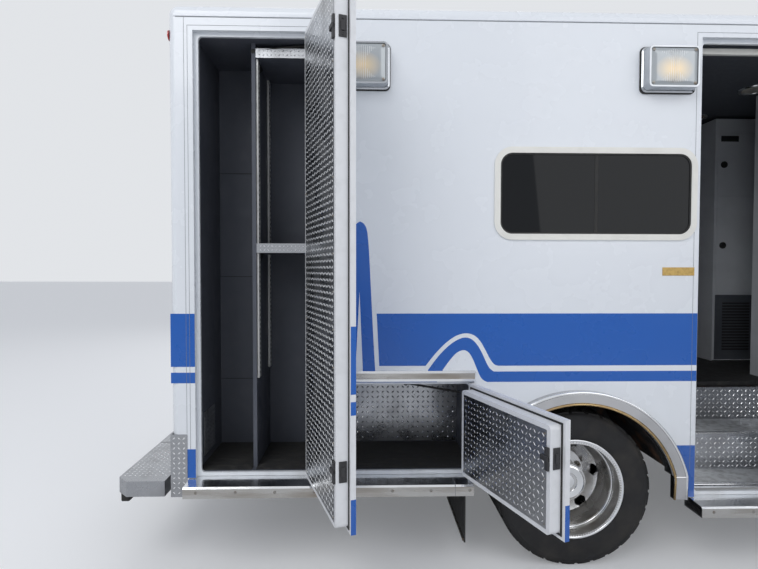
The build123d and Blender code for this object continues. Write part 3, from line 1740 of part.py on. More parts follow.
with BuildPart() as grille:
    add(nose_outer)
    add(nose_inner, mode=Mode.SUBTRACT)
    block(
        (nose_front - lamp_depth, nose_front),
        (-hood_half, hood_half),
        (front_bumper_top + hood_gap, hood_line - hood_gap),
        mode=Mode.INTERSECT,
    )
    block(
        (nose_front - lamp_depth, nose_front),
        (-grille_half, grille_half),
        (grille_bottom, grille_top),
        mode=Mode.SUBTRACT,
    )
    for side in (curb, street):
        block(
            (nose_front - lamp_depth, nose_front),
            sorted((side * lamp_half_inner, side * hood_half)),
            (lamp_bottom - fit_gap, lamp_top + fit_gap),
            mode=Mode.SUBTRACT,
        )
    pitch = (grille_top - grille_bottom) / grille_bars
    for bar in range(grille_bars):
        bar_z = grille_bottom + (bar + 0.5) * pitch
        block(
            (nose_front - nose_sheet, nose_front),
            (-grille_half, grille_half),
            (bar_z - grille_bar / 2, bar_z + grille_bar / 2),
        )
save(grille.part, "grille")

with BuildPart() as headlamp:
    block(
        (nose_front - lamp_depth, nose_front),
        (-lamp_half_outer, -lamp_half_inner),
        (lamp_bottom, lamp_top),
    )
save(both_sides(headlamp.part), "headlamps")

# Front bumper: a chromed bar with swept-back ends
with BuildPart() as front_bumper:
    with BuildSketch(Plane.XY.offset(front_bumper_bottom)):
        with BuildLine():
            Polyline(
                (nose_x - bumper_bar_depth, 0),
                (nose_x - bumper_bar_depth, nose_half),
                (nose_x - bumper_bar_depth + rail_width, nose_half),
                (nose_x, nose_half - bumper_bar_depth),
                (nose_x, 0),
                close=True,
            )
        make_face()
        mirror(about=Plane.XZ)
    extrude(amount=front_bumper_top - front_bumper_bottom)
save(front_bumper.part, "front_bumper")

# Patient room: street-side cabinets with an open work counter, bench base, cushions and seats
cabinet_rear = street_rear_door.front + street_rear_door.past + liner + cabinet_clear
cabinet_front = street_front_door.rear - street_front_door.past - liner - cabinet_clear
bench_rear = tall_door.front + tall_door.past + liner
with BuildPart() as cabinets:
    for low, high in ((floor_top, counter_z), (overhead_z, cabinet_top)):
        block((cabinet_rear, cabinet_front), (cabinet_face, inner_half), (low, high))
        block(
            (cabinet_rear + cabinet_board, cabinet_front - cabinet_board),
            (cabinet_face + cabinet_board, inner_half),
            (low - cabinet_board if low == floor_top else low + cabinet_board, high - cabinet_board),
            Mode.SUBTRACT,
        )
    pillar = (cabinet_rear, cabinet_rear + cabinet_board)
    block(pillar, (cabinet_face, inner_half), (counter_z, overhead_z))
    block(
        (cabinet_front - tower_length, cabinet_front),
        (cabinet_face, cabinet_face + cabinet_board),
        (counter_z, overhead_z),
    )
    block(
        (cabinet_front - tower_length, cabinet_front - tower_length + cabinet_board),
        (cabinet_face, inner_half),
        (counter_z, overhead_z),
    )
    block((bench_rear, bench_front), (-inner_half, -bench_face), (floor_top, bench_z))
    block(
        (bench_rear + cabinet_board, bench_front - cabinet_board),
        (-inner_half, -bench_face - cabinet_board),
        (floor_top, bench_z - cabinet_board),
        Mode.SUBTRACT,
    )

# Corner cabinets beside the way to the cab: closed boxes with gaps round their doors
CornerCabinet = namedtuple("CornerCabinet", "side rear top gap_levels")
corner_cabinets = (
    CornerCabinet(street, module_length - wall - street_corner_length, cabinet_top, (1354.0, 2122.0, 2626.0)),
    CornerCabinet(curb, module_length - wall - curb_corner_length, cabinet_top, (1532.0, 1880.0, 2626.0)),
)
corner_boxes = []
for corner in corner_cabinets:
    near = corner.side * aisle_half
    far = corner.side * (module_half_width - compartment_depth - liner)
    stations = (corner.rear, module_length - wall)
    door_stations = (corner.rear + cabinet_board, module_length - wall - cabinet_board)
    with BuildPart() as corner_box:
        block(stations, sorted((near, far)), (floor_top, corner.top))
        for level in corner.gap_levels:
            block(
                door_stations,
                sorted((near, near + corner.side * door_reveal)),
                (level, level + door_reveal),
                Mode.SUBTRACT,
            )
        for station in (door_stations[0], door_stations[1] - door_reveal):
            block(
                (station, station + door_reveal),
                sorted((near, near + corner.side * door_reveal)),
                (corner.gap_levels[0], corner.gap_levels[-1] + door_reveal),
                Mode.SUBTRACT,
            )
    corner_boxes.append(corner_box.part.solid())
save(Compound([*cabinets.part.solids(), *corner_boxes]), "cabinets")

cushion_length = (bench_front - bench_rear - 2 * cushion_gap) / bench_cushions
with BuildPart() as seat_cushions:
    for index in range(bench_cushions):
        start = bench_rear + index * (cushion_length + cushion_gap)
        block(
            (start, start + cushion_length),
            (-inner_half + cushion_thickness + fit_gap, -bench_face),
            (bench_z + fit_gap, bench_z + cushion_thickness),
        )
        block(
            (start, start + cushion_length),
            (-inner_half + fit_gap, -inner_half + cushion_thickness),
            (bench_z + fit_gap, bench_z + cushion_back),
        )
save(seat_cushions.part, "bench_cushions")


def seat(x, y, z):
    """One seat facing forward: pedestal, cushion and backrest."""
    with BuildPart() as whole:
        block(
            (x - seat_base / 2, x + seat_base / 2),
            (y - seat_base / 2, y + seat_base / 2),
            (z, z + seat_rise),
        )
        block(
            (x - seat_length / 2, x + seat_length / 2),
            (y - seat_half, y + seat_half),
            (z + seat_rise, z + seat_rise + seat_thickness),
        )
        back = x - seat_length / 2
        block(
            (back, back + seat_thickness),
            (y - seat_half, y + seat_half),
            (z + seat_rise, z + seat_rise + seat_back),
        )
    return whole.part.solid()


cab_floor_top = cab_floor_bottom + cab_wall
save(both_sides(seat(cab_seat_x, -cab_seat_half, cab_floor_top)), "seats")

# Dashboard across the cab with the steering column and wheel on the street side
with BuildPart() as dashboard:
    with BuildSketch(Plane.XZ.offset(-dash_half)):
        with BuildLine():
            Polyline(
                (cowl_x - cab_wall, dash_bottom),
                (cowl_x - cab_wall, dash_top),
                (cowl_x - cab_wall - dash_depth, dash_top - dash_slope),
                (cowl_x - cab_wall - dash_depth, dash_bottom + dash_slope),
                close=True,
            )
        make_face()
    extrude(amount=2 * dash_half)
    column = Plane(
        origin=(cowl_x - cab_wall - dash_depth, cab_seat_half, dash_top - 2 * dash_slope),
        z_dir=(-cos(radians(column_tilt)), 0, sin(radians(column_tilt))),
    )
    with BuildSketch(column):
        Circle(column_radius)
    extrude(amount=column_length)
    grip_plane = column.offset(column_length)
    with BuildSketch(Plane(origin=grip_plane.origin, x_dir=grip_plane.x_dir, z_dir=grip_plane.y_dir)):
        with Locations((steering_radius, 0)):
            RegularPolygon(grip_radius, grip_sides)
    revolve(axis=Axis(grip_plane.origin, grip_plane.z_dir))
    with BuildSketch(column.offset(column_length - grip_radius / 2)):
        Rectangle(2 * steering_radius, column_radius)
    extrude(amount=grip_radius)
save(dashboard.part, "dashboard")
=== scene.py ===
import json
import math
from collections import namedtuple

import bmesh
import bpy
from mathutils import Matrix, Vector


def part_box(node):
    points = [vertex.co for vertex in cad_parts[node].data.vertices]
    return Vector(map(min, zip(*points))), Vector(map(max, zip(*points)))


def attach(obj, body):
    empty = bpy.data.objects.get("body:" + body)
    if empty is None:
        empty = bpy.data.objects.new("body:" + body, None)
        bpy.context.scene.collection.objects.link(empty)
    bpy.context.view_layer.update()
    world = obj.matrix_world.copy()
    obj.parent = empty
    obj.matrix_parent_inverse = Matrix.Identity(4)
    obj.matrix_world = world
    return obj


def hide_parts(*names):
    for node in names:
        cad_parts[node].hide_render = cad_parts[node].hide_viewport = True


# The frame is loaded first. Places below are in millimetres on the vehicle: x forward from the
# rear face of the module, y from the centreline (street side positive), z up from the ground.
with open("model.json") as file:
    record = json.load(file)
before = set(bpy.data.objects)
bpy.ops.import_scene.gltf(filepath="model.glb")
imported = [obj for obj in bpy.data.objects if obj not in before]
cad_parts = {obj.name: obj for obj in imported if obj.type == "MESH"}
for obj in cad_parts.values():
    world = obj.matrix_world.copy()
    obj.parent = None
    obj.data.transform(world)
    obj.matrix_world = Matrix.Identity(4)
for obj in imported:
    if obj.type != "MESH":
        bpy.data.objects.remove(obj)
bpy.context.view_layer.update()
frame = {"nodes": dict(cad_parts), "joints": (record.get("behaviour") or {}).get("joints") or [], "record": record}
HALF = 1219.0  # from the centreline to the module's outer skin
wall_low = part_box("curb_wall")[0]
SHIFT = Vector((wall_low.x, wall_low.y + HALF / 1000, 0))
CURB, STREET = SIDES = (-1, 1)
SIDE_NAMES = {CURB: "curb", STREET: "street"}
AHEAD, BACK, UP, DOWN = (1, 0, 0), (-1, 0, 0), (0, 0, 1), (0, 0, -1)
REAR_AXLE, FRONT_AXLE, WHEEL_Z = 2055.0, 6327.0, 403.5


def at(x, y, z):
    return SHIFT + Vector((x, y, z)) / 1000


def span(side, first, second):
    """Two places across the vehicle, on one side of it."""
    return (side * first, side * second)


def outward(side):
    return (0, side, 0)


# Materials, all procedural


def new_material(name):
    mat = bpy.data.materials.new(name)
    mat.use_nodes = True
    tree = mat.node_tree
    return mat, tree, tree.nodes["Principled BSDF"]


def add_node(tree, kind, inputs=(), **settings):
    """A new node. Each input is a value or the output of another node."""
    node = tree.nodes.new(f"ShaderNode{kind}")
    for name, value in settings.items():
        setattr(node, name, value)
    for socket, value in dict(inputs).items():
        if isinstance(value, bpy.types.NodeSocket):
            tree.links.new(value, node.inputs[socket])
        else:
            node.inputs[socket].default_value = value
    return node


def maths(tree, operation, first, second, kind="Math"):
    return add_node(tree, kind, {0: first, 1: second}, operation=operation).outputs[0]


def noise(tree, scale, detail=3.0, stretch=(1, 1, 1)):
    place = add_node(tree, "TexCoord").outputs["Object"]
    mapped = add_node(tree, "Mapping", {"Vector": place, "Scale": stretch}).outputs["Vector"]
    return add_node(tree, "TexNoise", {"Vector": mapped, "Scale": scale, "Detail": detail}).outputs["Fac"]


def ramp(tree, source, low, high, low_at=0.35, high_at=0.65):
    values = {"Value": source, "From Min": low_at, "From Max": high_at, "To Min": low, "To Max": high}
    return add_node(tree, "MapRange", values).outputs["Result"]


def mix_colour(tree, factor, first, second):
    inputs = {"Factor": factor, "A": (*first, 1), "B": (*second, 1)}
    return add_node(tree, "Mix", inputs, data_type="RGBA").outputs["Result"]


def surface(
    name,
    colour,
    second=None,
    metal=0.0,
    rough=(0.4, 0.5),
    scale=20.0,
    stretch=(1, 1, 1),
    grain=0.0,
    grain_scale=300.0,
    coat=0.0,
    patch=(0.45, 0.75),
):
    """A finish of two colours mixed in patches, with uneven roughness and a fine grain."""
    mat, tree, shader = new_material(name)
    field = noise(tree, scale, stretch=stretch)
    if second:
        tint = mix_colour(tree, ramp(tree, field, 0, 1, *patch), colour, second)
        tree.links.new(tint, shader.inputs["Base Color"])
    else:
        shader.inputs["Base Color"].default_value = (*colour, 1)
    tree.links.new(ramp(tree, field, *rough), shader.inputs["Roughness"])
    shader.inputs["Metallic"].default_value = metal
    shader.inputs["Coat Weight"].default_value = coat
    if grain:
        height = noise(tree, grain_scale, 2.0, stretch)
        relief = add_node(tree, "Bump", {"Strength": grain, "Distance": 0.002, "Height": height})
        tree.links.new(relief.outputs["Normal"], shader.inputs["Normal"])
    return mat


def pane(name, colour, clear, rough=0.03, bend=1.36):
    """Glass: tinted light passes through, and its face reflects."""
    mat, tree, shader = new_material(name)
    tree.nodes.remove(shader)
    through = add_node(tree, "BsdfTransparent", {"Color": (*colour, 1)}).outputs[0]
    face = add_node(tree, "BsdfGlossy", {"Roughness": rough}).outputs[0]
    body = add_node(tree, "BsdfDiffuse", {"Color": (*[c * 0.3 for c in colour], 1)}).outputs[0]
    fresnel = add_node(tree, "Fresnel", {"IOR": bend}).outputs[0]
    solid = add_node(tree, "MixShader", {"Fac": clear, 1: body, 2: through}).outputs[0]
    both = add_node(tree, "MixShader", {"Fac": fresnel, 1: solid, 2: face}).outputs[0]
    tree.links.new(both, tree.nodes["Material Output"].inputs["Surface"])
    return mat


def weathered(name, colour, rough, dirt=(0.2, 0.16, 0.12), top=0.95, coat=0.3):
    """Paint that gathers dust towards the ground, in streaks."""
    mat, tree, shader = new_material(name)
    place = add_node(tree, "TexCoord").outputs["Object"]
    height = add_node(tree, "SeparateXYZ", {"Vector": place}).outputs["Z"]
    low = ramp(tree, height, 0.5, 0.0, 0.3, top)
    streaks = ramp(tree, noise(tree, 5.0, 3.0, (1, 1, 0.3)), 0.0, 0.8, 0.45, 0.75)
    tint = mix_colour(tree, maths(tree, "MULTIPLY", low, streaks), colour, dirt)
    tree.links.new(tint, shader.inputs["Base Color"])
    tree.links.new(ramp(tree, noise(tree, 6.0), *rough), shader.inputs["Roughness"])
    shader.inputs["Coat Weight"].default_value = coat
    shader.inputs["Coat Roughness"].default_value = 0.08
    return mat


def lit_glass(name, warm, rim):
    """A lamp's glass, warm in the middle of the piece and grey towards its edge."""
    mat, tree, shader = new_material(name)
    place = add_node(tree, "TexCoord").outputs["Generated"]
    offset = maths(tree, "SUBTRACT", place, (0.5, 0.5, 0.42), "VectorMath")
    flat = maths(tree, "MULTIPLY", offset, (1, 0, 1.1), "VectorMath")
    reach = add_node(tree, "VectorMath", {0: flat}, operation="LENGTH").outputs["Value"]
    tint = mix_colour(tree, ramp(tree, reach, 0, 1, 0.04, 0.42), warm, rim)
    tree.links.new(tint, shader.inputs["Base Color"])
    shader.inputs["Roughness"].default_value = 0.16
    shader.inputs["Metallic"].default_value = 0.3
    shader.inputs["Coat Weight"].default_value = 1.0
    return mat


# Paint and glass
WHITE = weathered("white_paint", (0.80, 0.83, 0.87), (0.24, 0.29))
BLUE = weathered("blue_stripe", (0.004, 0.105, 0.46), (0.26, 0.32))
INNER_WHITE = surface(
    "door_edge_white", (0.75, 0.76, 0.78), (0.66, 0.67, 0.68), rough=(0.3, 0.42), patch=(0.5, 0.9)
)
FRAME_WHITE = surface("window_frame", (0.82, 0.81, 0.76), (0.76, 0.75, 0.70), 0.0, (0.3, 0.45), 12.0)
TINTED = pane("tinted_glass", (0.022, 0.028, 0.036), 0.35)
CLEAR = pane("clear_glass", (0.80, 0.86, 0.86), 0.92)

# Metals
POLISHED = surface(
    "polished_trim", (0.80, 0.81, 0.82), (0.55, 0.54, 0.52), 1.0, (0.08, 0.22), 9.0, (0.5, 1, 2),
    grain=0.12, grain_scale=40.0, patch=(0.55, 0.9),
)
PLATE = surface(
    "tread_plate", (0.40, 0.41, 0.43), (0.27, 0.27, 0.28), 1.0, (0.22, 0.36), 8.0,
    grain=0.08, patch=(0.5, 0.9),
)
# Lozenges are the plate's own metal; their much lighter colour is a painted highlight on their tops
LOZENGE_HIGHLIGHT = surface("tread_plate_lozenge_highlight", (0.90, 0.91, 0.92), (0.74, 0.74, 0.74), 1.0, (0.14, 0.26), 8.0)
ALUMINIUM = surface(
    "satin_aluminium", (0.62, 0.63, 0.64), (0.4, 0.4, 0.4), 1.0, (0.3, 0.45), 30.0, (1, 1, 0.2)
)
RIM = surface("wheel_metal", (0.66, 0.66, 0.66), (0.34, 0.32, 0.29), 1.0, (0.16, 0.36), 8.0, grain=0.08)
CHROME = surface("bright_chrome", (0.88, 0.89, 0.90), (0.81, 0.82, 0.83), 1.0, (0.05, 0.11), 6.0)
TRACK = surface("track_metal", (0.70, 0.70, 0.68), (0.55, 0.55, 0.53), 0.25, (0.3, 0.45), 20.0)
# Polished flare metal, darkened and patched: a painted reflection of dark surroundings
FLARE_AND_REFLECTION = surface(
    "arch_flare_metal_and_reflection", (0.56, 0.56, 0.57), (0.36, 0.36, 0.36), 1.0, (0.10, 0.24), 4.0, patch=(0.4, 0.8)
)
BEZEL = surface("lamp_bezel", (0.50, 0.52, 0.55), (0.42, 0.44, 0.46), 1.0, (0.08, 0.14), 6.0)
WORN = surface(
    "worn_rail", (0.55, 0.54, 0.52), (0.26, 0.22, 0.18), 1.0, (0.16, 0.42), 5.0, (0.4, 1, 3),
    patch=(0.42, 0.7),
)
GALVANISED = surface("galvanised", (0.30, 0.29, 0.27), (0.17, 0.10, 0.06), 0.9, (0.4, 0.7), 10.0, grain=0.2)
STEEL = surface("dull_steel", (0.33, 0.32, 0.30), (0.16, 0.11, 0.07), 1.0, (0.35, 0.6), 60.0)
GOLD = surface("blank_plate", (0.55, 0.38, 0.14), (0.4, 0.27, 0.1), 1.0, (0.3, 0.5), 50.0)
BRONZE = surface("bronzed_edge", (0.50, 0.36, 0.18), (0.32, 0.22, 0.12), 1.0, (0.2, 0.35), 12.0)
MIRROR = surface("mirror_glass", (0.72, 0.75, 0.77), metal=1.0, rough=(0.02, 0.04))
CAST = surface("cast_metal", (0.06, 0.055, 0.05), (0.12, 0.065, 0.04), 0.5, (0.55, 0.8), 16.0, grain=0.5)
CHASSIS = surface(
    "chassis_black", (0.020, 0.020, 0.021), (0.10, 0.05, 0.028), 0.1, (0.5, 0.8), 11.0,
    grain=0.3, patch=(0.5, 0.66),
)

# Rubber, plastic, linings and lenses
TYRE = surface("dusty_tyre", (0.013, 0.013, 0.014), (0.040, 0.037, 0.034), 0.0, (0.72, 0.9), 9.0, grain=0.35)
RUBBER = surface(
    "black_rubber", (0.016, 0.016, 0.016), (0.04, 0.038, 0.036), 0.0, (0.6, 0.85), 20.0, grain=0.2
)
MAT_RUBBER = surface(
    "floor_rubber", (0.020, 0.020, 0.021), (0.05, 0.048, 0.044), 0.0, (0.6, 0.8), 25.0, grain=0.3
)
# Dark liner: partly its own colour, partly painted shade where the inside stands unlit
LINER_AND_SHADE = surface(
    "liner_and_painted_shade", (0.072, 0.080, 0.102), (0.095, 0.102, 0.124), 0.0, (0.45, 0.7), 7.0,
    grain=0.35, grain_scale=500,
)
CABINET = surface("cabinet_laminate", (0.74, 0.76, 0.79), (0.66, 0.68, 0.71), 0.0, (0.35, 0.5), 5.0)
GREY = surface("dark_grey_panel", (0.10, 0.11, 0.13), (0.13, 0.14, 0.16), 0.0, (0.45, 0.6), 12.0)
BROWN = surface(
    "brown_panel", (0.12, 0.062, 0.032), (0.09, 0.045, 0.022), 0.0, (0.35, 0.5), 12.0, (1, 1, 0.1)
)
# Headliner darkened as painted shade: the room's ceiling stands unlit
SHADED_HEADLINER = surface("headliner_painted_shade", (0.10, 0.11, 0.13), (0.13, 0.14, 0.16), 0.0, (0.8, 0.9), 30.0, grain=0.4)
VINYL = surface("dark_vinyl", (0.030, 0.034, 0.045), (0.05, 0.052, 0.06), 0.0, (0.4, 0.55), 14.0, grain=0.3)
TRIM = surface(
    "dark_plastic", (0.028, 0.028, 0.031), (0.045, 0.045, 0.046), 0.0, (0.5, 0.7), 30.0, grain=0.3
)
SEAM = surface("panel_seam", (0.20, 0.21, 0.23), rough=(0.5, 0.6))
LENS = surface("lamp_lens", (0.74, 0.75, 0.76), (0.6, 0.6, 0.6), 0.15, (0.12, 0.2), 40.0, coat=1.0)
RED = surface("red_lens", (0.45, 0.012, 0.01), (0.3, 0.01, 0.01), 0.0, (0.12, 0.2), 30.0, coat=1.0)
AMBER = surface("amber_lens", (0.75, 0.24, 0.01), (0.5, 0.15, 0.01), 0.0, (0.12, 0.2), 30.0, coat=1.0)
WARM = surface("lamp_glow", (0.80, 0.74, 0.62), (0.66, 0.62, 0.54), 0.2, (0.08, 0.15), 40.0, coat=1.0)
LIT_GLASS = lit_glass("lit_lamp_glass", (0.86, 0.66, 0.40), (0.40, 0.43, 0.45))

by_slot = {
    "white_paint": WHITE,
    "polished_metal": POLISHED,
    "diamond_plate": PLATE,
    "liner_dark": LINER_AND_SHADE,
    "chassis_black": CHASSIS,
    "cast_metal": CAST,
    "tyre_rubber": TYRE,
    "rim_metal": RIM,
    "black_rubber": RUBBER,
    "glass_dark": TINTED,
    "glass_clear": CLEAR,
    "lamp_lens": LENS,
    "red_lens": RED,
    "chrome_bright": CHROME,
    "cabinet_grey": CABINET,
    "vinyl_dark": VINYL,
    "trim_dark": TRIM,
    "galvanised": GALVANISED,
}
for part in frame["record"]["subparts"]:
    node = frame["nodes"][part["node"]]
    node.data.materials.clear()
    node.data.materials.append(by_slot[part["material_slot"]])


# Shape makers


def piece(name, verts, faces, material, body="root", smooth=False, bevel=0.0):
    """A mesh from vertices already in the frame, in metres."""
    mesh = bpy.data.meshes.new(name)
    mesh.from_pydata([tuple(v) for v in verts], [], faces)
    mesh.validate()
    shell = bmesh.new()
    shell.from_mesh(mesh)
    bmesh.ops.recalc_face_normals(shell, faces=shell.faces)
    shell.to_mesh(mesh)
    shell.free()
    mesh.update()
    obj = bpy.data.objects.new(name, mesh)
    bpy.context.scene.collection.objects.link(obj)
    mesh.materials.append(material)
    if smooth:
        for poly in mesh.polygons:
            poly.use_smooth = True
    if bevel:
        edge = obj.modifiers.new("edge", "BEVEL")
        edge.width = bevel / 1000
        edge.segments = 2
        edge.limit_method = "ANGLE"
    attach(obj, body)
    return obj


def rectangle(first, second):
    """The corners of a rectangle in two coordinates."""
    (a, b), (low, high) = first, second
    return [(a, low), (b, low), (b, high), (a, high)]


# Patterns of tread plate: pitch, length, width and height of the lozenges
PATTERN, FINE_PATTERN, SMALL_PATTERN = (26, 20, 6, 1.6), (20, 15, 5, 1.4), (25, 19, 6, 1.5)
LARGE_PATTERN, DEEP_PATTERN = (30, 24, 7, 1.6), (30, 24, 8, 2)
LOZENGE_LEAN = 45
CORNER_STEPS = 6
FACING, SQUARE_ON = 0.9, 0.99  # how nearly a face's normal lies along an axis


class Maker:
    """Gathers many small shapes into one mesh. Sizes and places are in millimetres on the vehicle."""

    def __init__(self, matrix=None):
        self.verts = []
        self.faces = []
        self.highlit_faces = []
        self.matrix = matrix or Matrix()

    def add(self, verts, faces):
        start = len(self.verts)
        self.verts += [self.matrix @ v for v in verts]
        self.faces += [tuple(i + start for i in face) for face in faces]

    def rings(self, rings, closed=True):
        """A skin over rings of equally many points."""
        sides = len(rings[0])
        faces = []
        for i in range(len(rings) - 1):
            near, far = i * sides, (i + 1) * sides
            for k in range(sides):
                after = (k + 1) % sides
                faces.append((near + k, near + after, far + after, far + k))
        if closed:
            faces.append(tuple(range(sides))[::-1])
            faces.append(tuple(range((len(rings) - 1) * sides, len(rings) * sides)))
        self.add([v for ring in rings for v in ring], faces)

    def box(self, x, y, z):
        corners = [at(a, b, c) for a in sorted(x) for b in sorted(y) for c in sorted(z)]
        faces = [(0, 1, 3, 2), (4, 6, 7, 5), (0, 4, 5, 1), (2, 3, 7, 6), (0, 2, 6, 4), (1, 5, 7, 3)]
        self.add(corners, faces)

    def bars(self, across, up, width, place):
        """Four bars inside the edges of a rectangle; place puts a bar's two extents on the vehicle."""
        (a, b), (low, high) = across, up
        for edge in ((a, a + width), (b - width, b)):
            place(edge, up)
        for edge in ((low, low + width), (high - width, high)):
            place(across, edge)

    def tube(self, points, radius, sides=10):
        """A round bar through points."""
        path = [at(*p) for p in points]
        rings = []
        for i, p in enumerate(path):
            along = (path[min(i + 1, len(path) - 1)] - path[max(i - 1, 0)]).normalized()
            helper = Vector(UP) if abs(along.z) < 0.9 else Vector(AHEAD)
            u = along.cross(helper).normalized()
            v = along.cross(u)
            turns = [2 * math.pi * k / sides for k in range(sides)]
            rings.append([p + (u * math.cos(a) + v * math.sin(a)) * radius / 1000 for a in turns])
        self.rings(rings)

    def turned(self, centre, axis, profile, sides=24, closed=True):
        """A turned shape: its profile lists distance along the axis and radius."""
        turn = Vector(UP).rotation_difference(Vector(axis)).to_matrix()
        turns = [2 * math.pi * k / sides for k in range(sides)]
        rings = []
        for z, r in profile:
            circle = [Vector((r * math.cos(a), r * math.sin(a), z)) / 1000 for a in turns]
            rings.append([at(*centre) + turn @ v for v in circle])
        self.rings(rings, closed)

    def hoop(self, centre, axis, profile, sides=48):
        """A turned ring, whose profile is closed."""
        self.turned(centre, axis, [*profile, profile[0]], sides, closed=False)

    def sheet(self, points, normal, depth):
        """A flat outline, thickened along a normal."""
        push = Vector(normal) * depth / 1000
        base = [at(*p) for p in points]
        n = len(base)
        faces = [tuple(range(n)), tuple(range(2 * n - 1, n - 1, -1))]
        faces += [(i, (i + 1) % n, n + (i + 1) % n, n + i) for i in range(n)]
        self.add(base + [p + push for p in base], faces)

    def band(self, outer, inner, normal, depth):
        """A flat ring between two outlines of equally many points, thickened along a normal."""
        push = Vector(normal) * depth / 1000
        outer, inner = ([at(*p) for p in [*line, line[0]]] for line in (outer, inner))
        loops = [outer, [p + push for p in outer], [p + push for p in inner], inner, outer]
        self.rings(loops, closed=False)

    def border(self, place, outer, inner, normal, depth):
        """A flat frame between two rectangles. Place puts a corner's two coordinates on the vehicle."""
        lines = [[place(*corner) for corner in rectangle(*edges)] for edges in (outer, inner)]
        self.band(*lines, normal, depth)

    def rounded_band(self, x, z, side, outer, inner, depth):
        """A ring between two rounded rectangles, each given by its half sizes, corner radius and height
        over the skin."""
        lines = [rounded(x, z, w, h, r, side * (HALF + out)) for w, h, r, out in (outer, inner)]
        self.band(*lines, outward(side), depth)

    def lozenges(self, origin, along, up, out, length, height, pattern=PATTERN):
        """Raised lozenges of tread plate, turned one way and then the other; their faces are kept for a painted
        highlight.
        """
        along, up, out = Vector(along), Vector(up), Vector(out)
        pitch, size, width, rise = pattern
        columns, rows = int(length // pitch), int(height // pitch)
        edge_a = (length - (columns - 1) * pitch) / 2
        edge_b = (height - (rows - 1) * pitch) / 2
        faces = [(0, 1, 4), (1, 5, 4), (1, 2, 5), (2, 3, 5), (3, 4, 5), (3, 0, 4)]
        for i in range(columns):
            for j in range(rows):
                middle = Vector(origin) + along * (edge_a + i * pitch) + up * (edge_b + j * pitch)
                lean = math.radians(LOZENGE_LEAN if (i + j) % 2 else -LOZENGE_LEAN)
                u = along * math.cos(lean) + up * math.sin(lean)
                v = up * math.cos(lean) - along * math.sin(lean)
                base = [middle - u * size / 2, middle - v * width / 2]
                base += [middle + u * size / 2, middle + v * width / 2]
                base += [middle - u * size / 5 + out * rise, middle + u * size / 5 + out * rise]
                self.highlit_faces += range(len(self.faces), len(self.faces) + len(faces))
                self.add([at(*p) for p in base], faces)

    def done(self, name, material, body="root", smooth=False, bevel=0.0):
        obj = piece(name, self.verts, self.faces, material, body, smooth, bevel)
        # Lozenge faces take the lighter material: a painted highlight
        if self.highlit_faces:
            obj.data.materials.append(LOZENGE_HIGHLIGHT)
            for i in self.highlit_faces:
                obj.data.polygons[i].material_index = 1
        return obj


def makers(count):
    return [Maker() for _ in range(count)]


def opened(door_body):
    """Degrees from closed to the stored pose, which is the joint's zero."""
    joint = next(j for j in frame["joints"] if j["child"] == door_body)
    return -joint["range_deg"][0] if joint["range_deg"][0] < 0 else 0.0


def closing(door_body):
    """The turn from where a door stands in the stored pose to closed."""
    joint = next(j for j in frame["joints"] if j["child"] == door_body)
    pivot = Vector(joint["pos_m"])
    turn = Matrix.Rotation(math.radians(-opened(door_body)), 4, Vector(joint["axis"]))
    return Matrix.Translation(pivot) @ turn @ Matrix.Translation(-pivot)


def door_maker(door_body):
    """Takes shapes drawn on the closed door to where the door stands open."""
    return Maker(closing(door_body).inverted())


def paint(node, rule, door=None):
    """Gives each face of a CAD node the material that a rule picks from its middle and normal, on the
    closed vehicle in millimetres."""
    obj = frame["nodes"][node]
    back = closing(door) if door else Matrix()
    order = {}
    obj.data.materials.clear()
    for poly in obj.data.polygons:
        mat = rule((back @ poly.center - SHIFT) * 1000, back.to_3x3() @ poly.normal)
        if mat.name not in order:
            order[mat.name] = len(order)
            obj.data.materials.append(mat)
        poly.material_index = order[mat.name]


def rounded(x, z, half_x, half_z, radius, y):
    """The points of a rounded rectangle on the side of the vehicle."""
    points = []
    for sx, sz, start in ((1, 1, 0), (-1, 1, 90), (-1, -1, 180), (1, -1, 270)):
        for k in range(CORNER_STEPS + 1):
            a = math.radians(start + 90 / CORNER_STEPS * k)
            cx, cz = x + sx * (half_x - radius), z + sz * (half_z - radius)
            points.append((cx + radius * math.cos(a), y, cz + radius * math.sin(a)))
    return points


# Side doors: outer skin from rear to front edge, bottom and top, the side and the heights of its latches
Door = namedtuple("Door", "rear front bottom top side latches")
side_doors = {
    "tall_door": Door(128, 742, 505, 2707, CURB, (2475, 752)),
    "lower_door": Door(815, 1511, 505, 974, CURB, (824,)),
    "entry_door": Door(2668, 3452, 381, 2707, CURB, (2300, 1100)),
    "forward_door": Door(3530, 4080, 381, 2707, CURB, (2300, 700)),
    "street_rear_door": Door(128, 680, 505, 2707, STREET, (2300, 700)),
    "street_front_door": Door(3530, 4080, 381, 2707, STREET, (2300, 700)),
}
entry_window = (2818, 3302, 1650, 2400)
INNER = 1143.0  # inner face of a closed door's pan
PLATE_INSET, PLATE_EDGE, PLATE_THICK = 46, 4, 1.6
RIVET_INSET, RIVET_EDGE, RIVET_PITCH = 6, 12, 150
SEAL_INSET, SEAL_WIDTH = 14, 9
LATCH_Y = 1172


def door_rule(side, window=None):
    """Outer skin white, edges and inner pan off-white, and the window's pane tinted."""

    def rule(middle, normal):
        inside = window and window[0] < middle.x < window[1] and window[2] < middle.z < window[3]
        if inside and abs(normal.y) > FACING:
            return TINTED
        if normal.y * side > FACING and abs(middle.y) > HALF - 5:
            return WHITE
        return INNER_WHITE

    return rule


